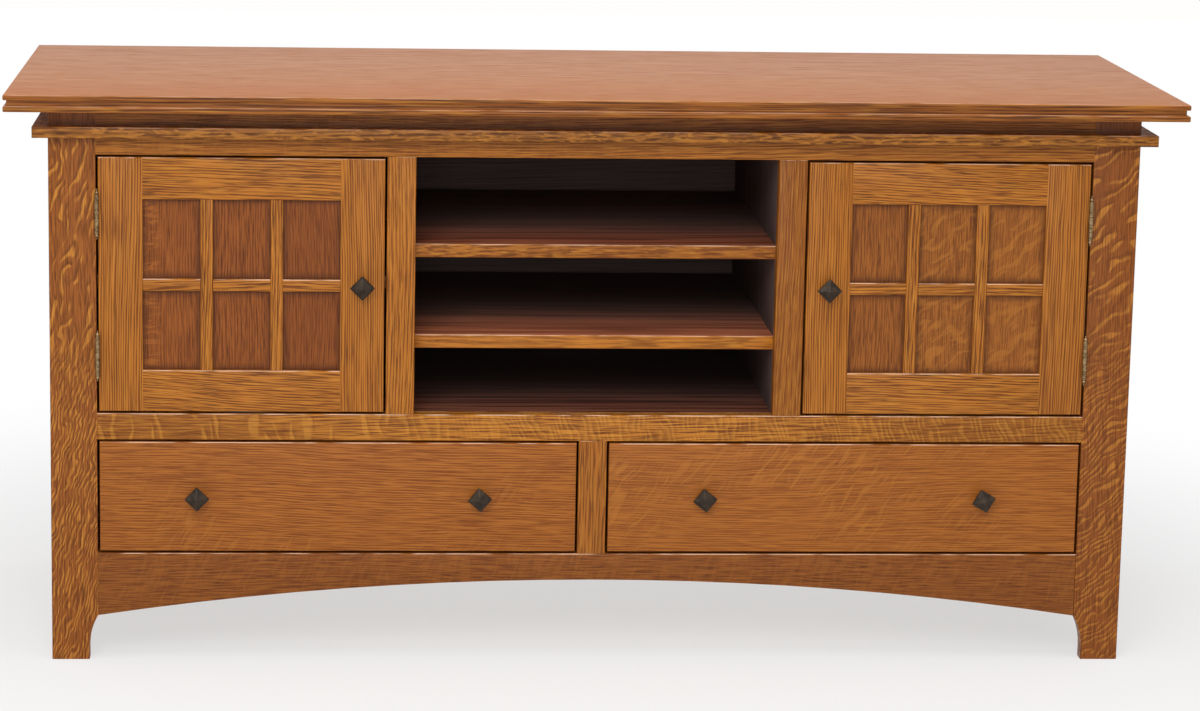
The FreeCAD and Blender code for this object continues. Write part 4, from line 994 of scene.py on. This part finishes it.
# On the back: pitch and heights of its two rows, and how far out and how high the side screws are
BACK_PITCH, BACK_ROWS, BACK_EDGE, BACK_SIDES = 155.0, (122.0, 716.0), 668.0, (220.0, 370.0, 520.0, 650.0)


def screws():
    slotted, small = screw_head(2.4, 0.15, cross=False), screw_head(2.2, 0.1)
    broad, pan = screw_head(4.2, 1.5), screw_head(3.6, 1.2)
    leg = [((sign * LEG_LEAF, y, z + step), (-sign, 0, 0)) for _, sign in SIDES for z in HINGE_HEIGHTS
           for step, y in HINGE_SCREWS]
    set_on_points("leg_hinge_screws", slotted, leg, "case", "antique_brass")
    strike_y = most("right_door_strike", Y)
    box_y = least("right_drawer_box_ends", Y) + BOX_THICK
    slide_z = middle("right_slide_drawer_members", Z)
    for side, sign in SIDES:
        door, drawer = side + "_door", side + "_drawer"
        spots = [((sign * DOOR_LEAF, y, z + step), (sign, 0, 0)) for z in HINGE_HEIGHTS
                 for step, y in HINGE_SCREWS]
        set_on_points(door + "_hinge_screws", slotted, spots, door, "antique_brass")
        spots = [((sign * DOOR_KNOB_X, BEHIND, DOOR_KNOB_Z), (0, 1, 0))]
        set_on_points(door + "_knob_screw", broad, spots, door, "zinc_steel")
        spots = [((sign * (DOOR_KNOB_X + way * STRIKE_SCREW), strike_y, STRIKE_SCREW_Z), (0, 1, 0))
                 for way in (-1, 1)]
        set_on_points(side + "_strike_screws", small, spots, door, "zinc_steel")
        spots = [((sign * x, box_y, DRAWER_KNOB_Z), (0, 1, 0)) for x in DRAWER_KNOBS_X]
        spots += [((sign * (DRAWER_X + way * DRAWER_SCREW), box_y, z), (0, 1, 0)) for way in (-1, 0, 1)
                  for z in DRAWER_SCREWS_Z]
        set_on_points(drawer + "_screws", broad, spots, drawer, "zinc_steel")
        spots = [((sign * (DRAWER_X + way * SLIDE_SCREW), y, slide_z), (sign * way, 0, 0)) for way in (-1, 1)
                 for y in SLIDE_SCREWS_Y]
        set_on_points(side + "_slide_screws", pan, spots, drawer, "zinc_steel")
    catch_y, catch_z = middle("magnetic_catches", Y), most("magnetic_catches", Z)
    spots = [((sign * (DOOR_KNOB_X + way * CATCH_SCREW), catch_y, catch_z), (0, 0, 1)) for _, sign in SIDES
             for way in (-1, 1)]
    set_on_points("catch_screws", screw_head(2.8, 0.8), spots, "case", "zinc_steel")
    back = most("back_panel", Y)
    spots = [((step * BACK_PITCH, back, z), (0, 1, 0)) for z in BACK_ROWS for step in range(-4, 5)]
    spots += [((sign * BACK_EDGE, back, z), (0, 1, 0)) for _, sign in SIDES for z in BACK_SIDES]
    set_on_points("back_screws", screw_head(3.6, 0.9), spots, "case", "zinc_steel")


carcase()
doors()
drawers()
knobs()
hinges()
catches_and_slides()
shelf_pins()
screws()


# Light, floor and camera, in metres

def lamp(name, place, target, width, height, power):
    light = bpy.data.lights.new(name, "AREA")
    light.shape = "RECTANGLE"
    light.size = width
    light.size_y = height
    light.energy = power
    stand = placed(name, light)
    stand.location = place
    stand.rotation_euler = (Vector(target) - Vector(place)).to_track_quat("-Z", "Y").to_euler()


def shown(tree):
    """1 for the rays that show the background, 0 for the rays that carry its light."""
    ray = add_node(tree, "ShaderNodeLightPath").outputs
    total = ray["Is Camera Ray"]
    for kind in ("Is Glossy Ray", "Is Transmission Ray"):
        total = add_node(tree, "ShaderNodeMath", {"operation": "MAXIMUM"},
                         {"Value": total, "Value_001": ray[kind]}).outputs[0]
    return total


def studio(fill=0.35, white=1.0):
    """A white surround that lights with less than it shows, and three softboxes."""
    world = bpy.data.worlds.new("studio")
    bpy.context.scene.world = world
    world.use_nodes = True
    tree = world.node_tree
    tree.nodes.clear()
    inputs = {"Fac": shown(tree)}
    for key, strength in (("Shader", fill), ("Shader_001", white)):
        light = {"Color": (1.0, 0.99, 0.98, 1.0), "Strength": strength}
        inputs[key] = add_node(tree, "ShaderNodeBackground", inputs=light).outputs[0]
    mixed = add_node(tree, "ShaderNodeMixShader", inputs=inputs)
    add_node(tree, "ShaderNodeOutputWorld", inputs={"Surface": mixed.outputs[0]})
    lamp("front_softbox", (-0.8, -3.7, 2.7), target=(0, 0, 0.45), width=2.6, height=1.8, power=76)
    lamp("low_softbox", (-0.2, -4.4, 1.0), target=(0, 0, 0.45), width=1.2, height=0.8, power=16)
    lamp("overhead_softbox", (0, -0.6, 3.4), target=(0, -0.2, 0.5), width=4.0, height=3.0, power=50)


def floor(half=8.0, shadow_to=0.75, white_from=1.7, near=0.6):
    """White paper that keeps the shadow near the stand and is plain white further out."""
    paper = Finish("floor_paper", Roughness=0.9, Specular_IOR_Level=0.1)
    fibre = paper.speckle(240.0)
    white = fibre * 0.04 + 0.90
    paper.feed(Base_Color=paper.bundle(white, white, white))
    away = paper.node("VectorMath", {"operation": "LENGTH"}, {"Vector": paper.place()})
    far = near + paper.rise(paper.out(away, "Value"), shadow_to, white_from) * (1 - near)
    plain = paper.node("Emission", inputs={"Color": (1.0, 1.0, 1.0, 1.0), "Strength": 1.0})
    inputs = {"Fac": far * Value(paper, shown(paper.tree)), "Shader": paper.out(paper.surface),
              "Shader_001": paper.out(plain)}
    mixed = paper.node("MixShader", inputs=inputs)
    paper.tree.links.new(mixed.outputs[0], paper.end.inputs["Surface"])
    mesh = bpy.data.meshes.new("floor")
    mesh.from_pydata([(-half, -half, 0), (half, -half, 0), (half, half, 0), (-half, half, 0)], [],
                     [(0, 1, 2, 3)])
    mesh.materials.append(paper.material)
    ground = placed("floor", mesh)


def camera():
    """The camera of the photo, as fitted to the corners of the stand."""
    place = (-0.34666, -4.72296, 1.32768)
    right = Vector((0.998393, -0.054364, 0.015989))
    up = Vector((-0.005751, 0.183501, 0.983003))
    lens = bpy.data.cameras.new("camera")
    lens.sensor_width = 36.0
    lens.lens = 105.313
    lens.shift_x = 0.06
    lens.shift_y = -0.05
    stand = placed("camera", lens)
    turn = Matrix((right, up, right.cross(up))).transposed().to_4x4()
    stand.matrix_world = Matrix.Translation(place) @ turn
    bpy.context.scene.camera = stand


studio()
floor()
camera()
bpy.context.scene.view_settings.view_transform = "Standard"
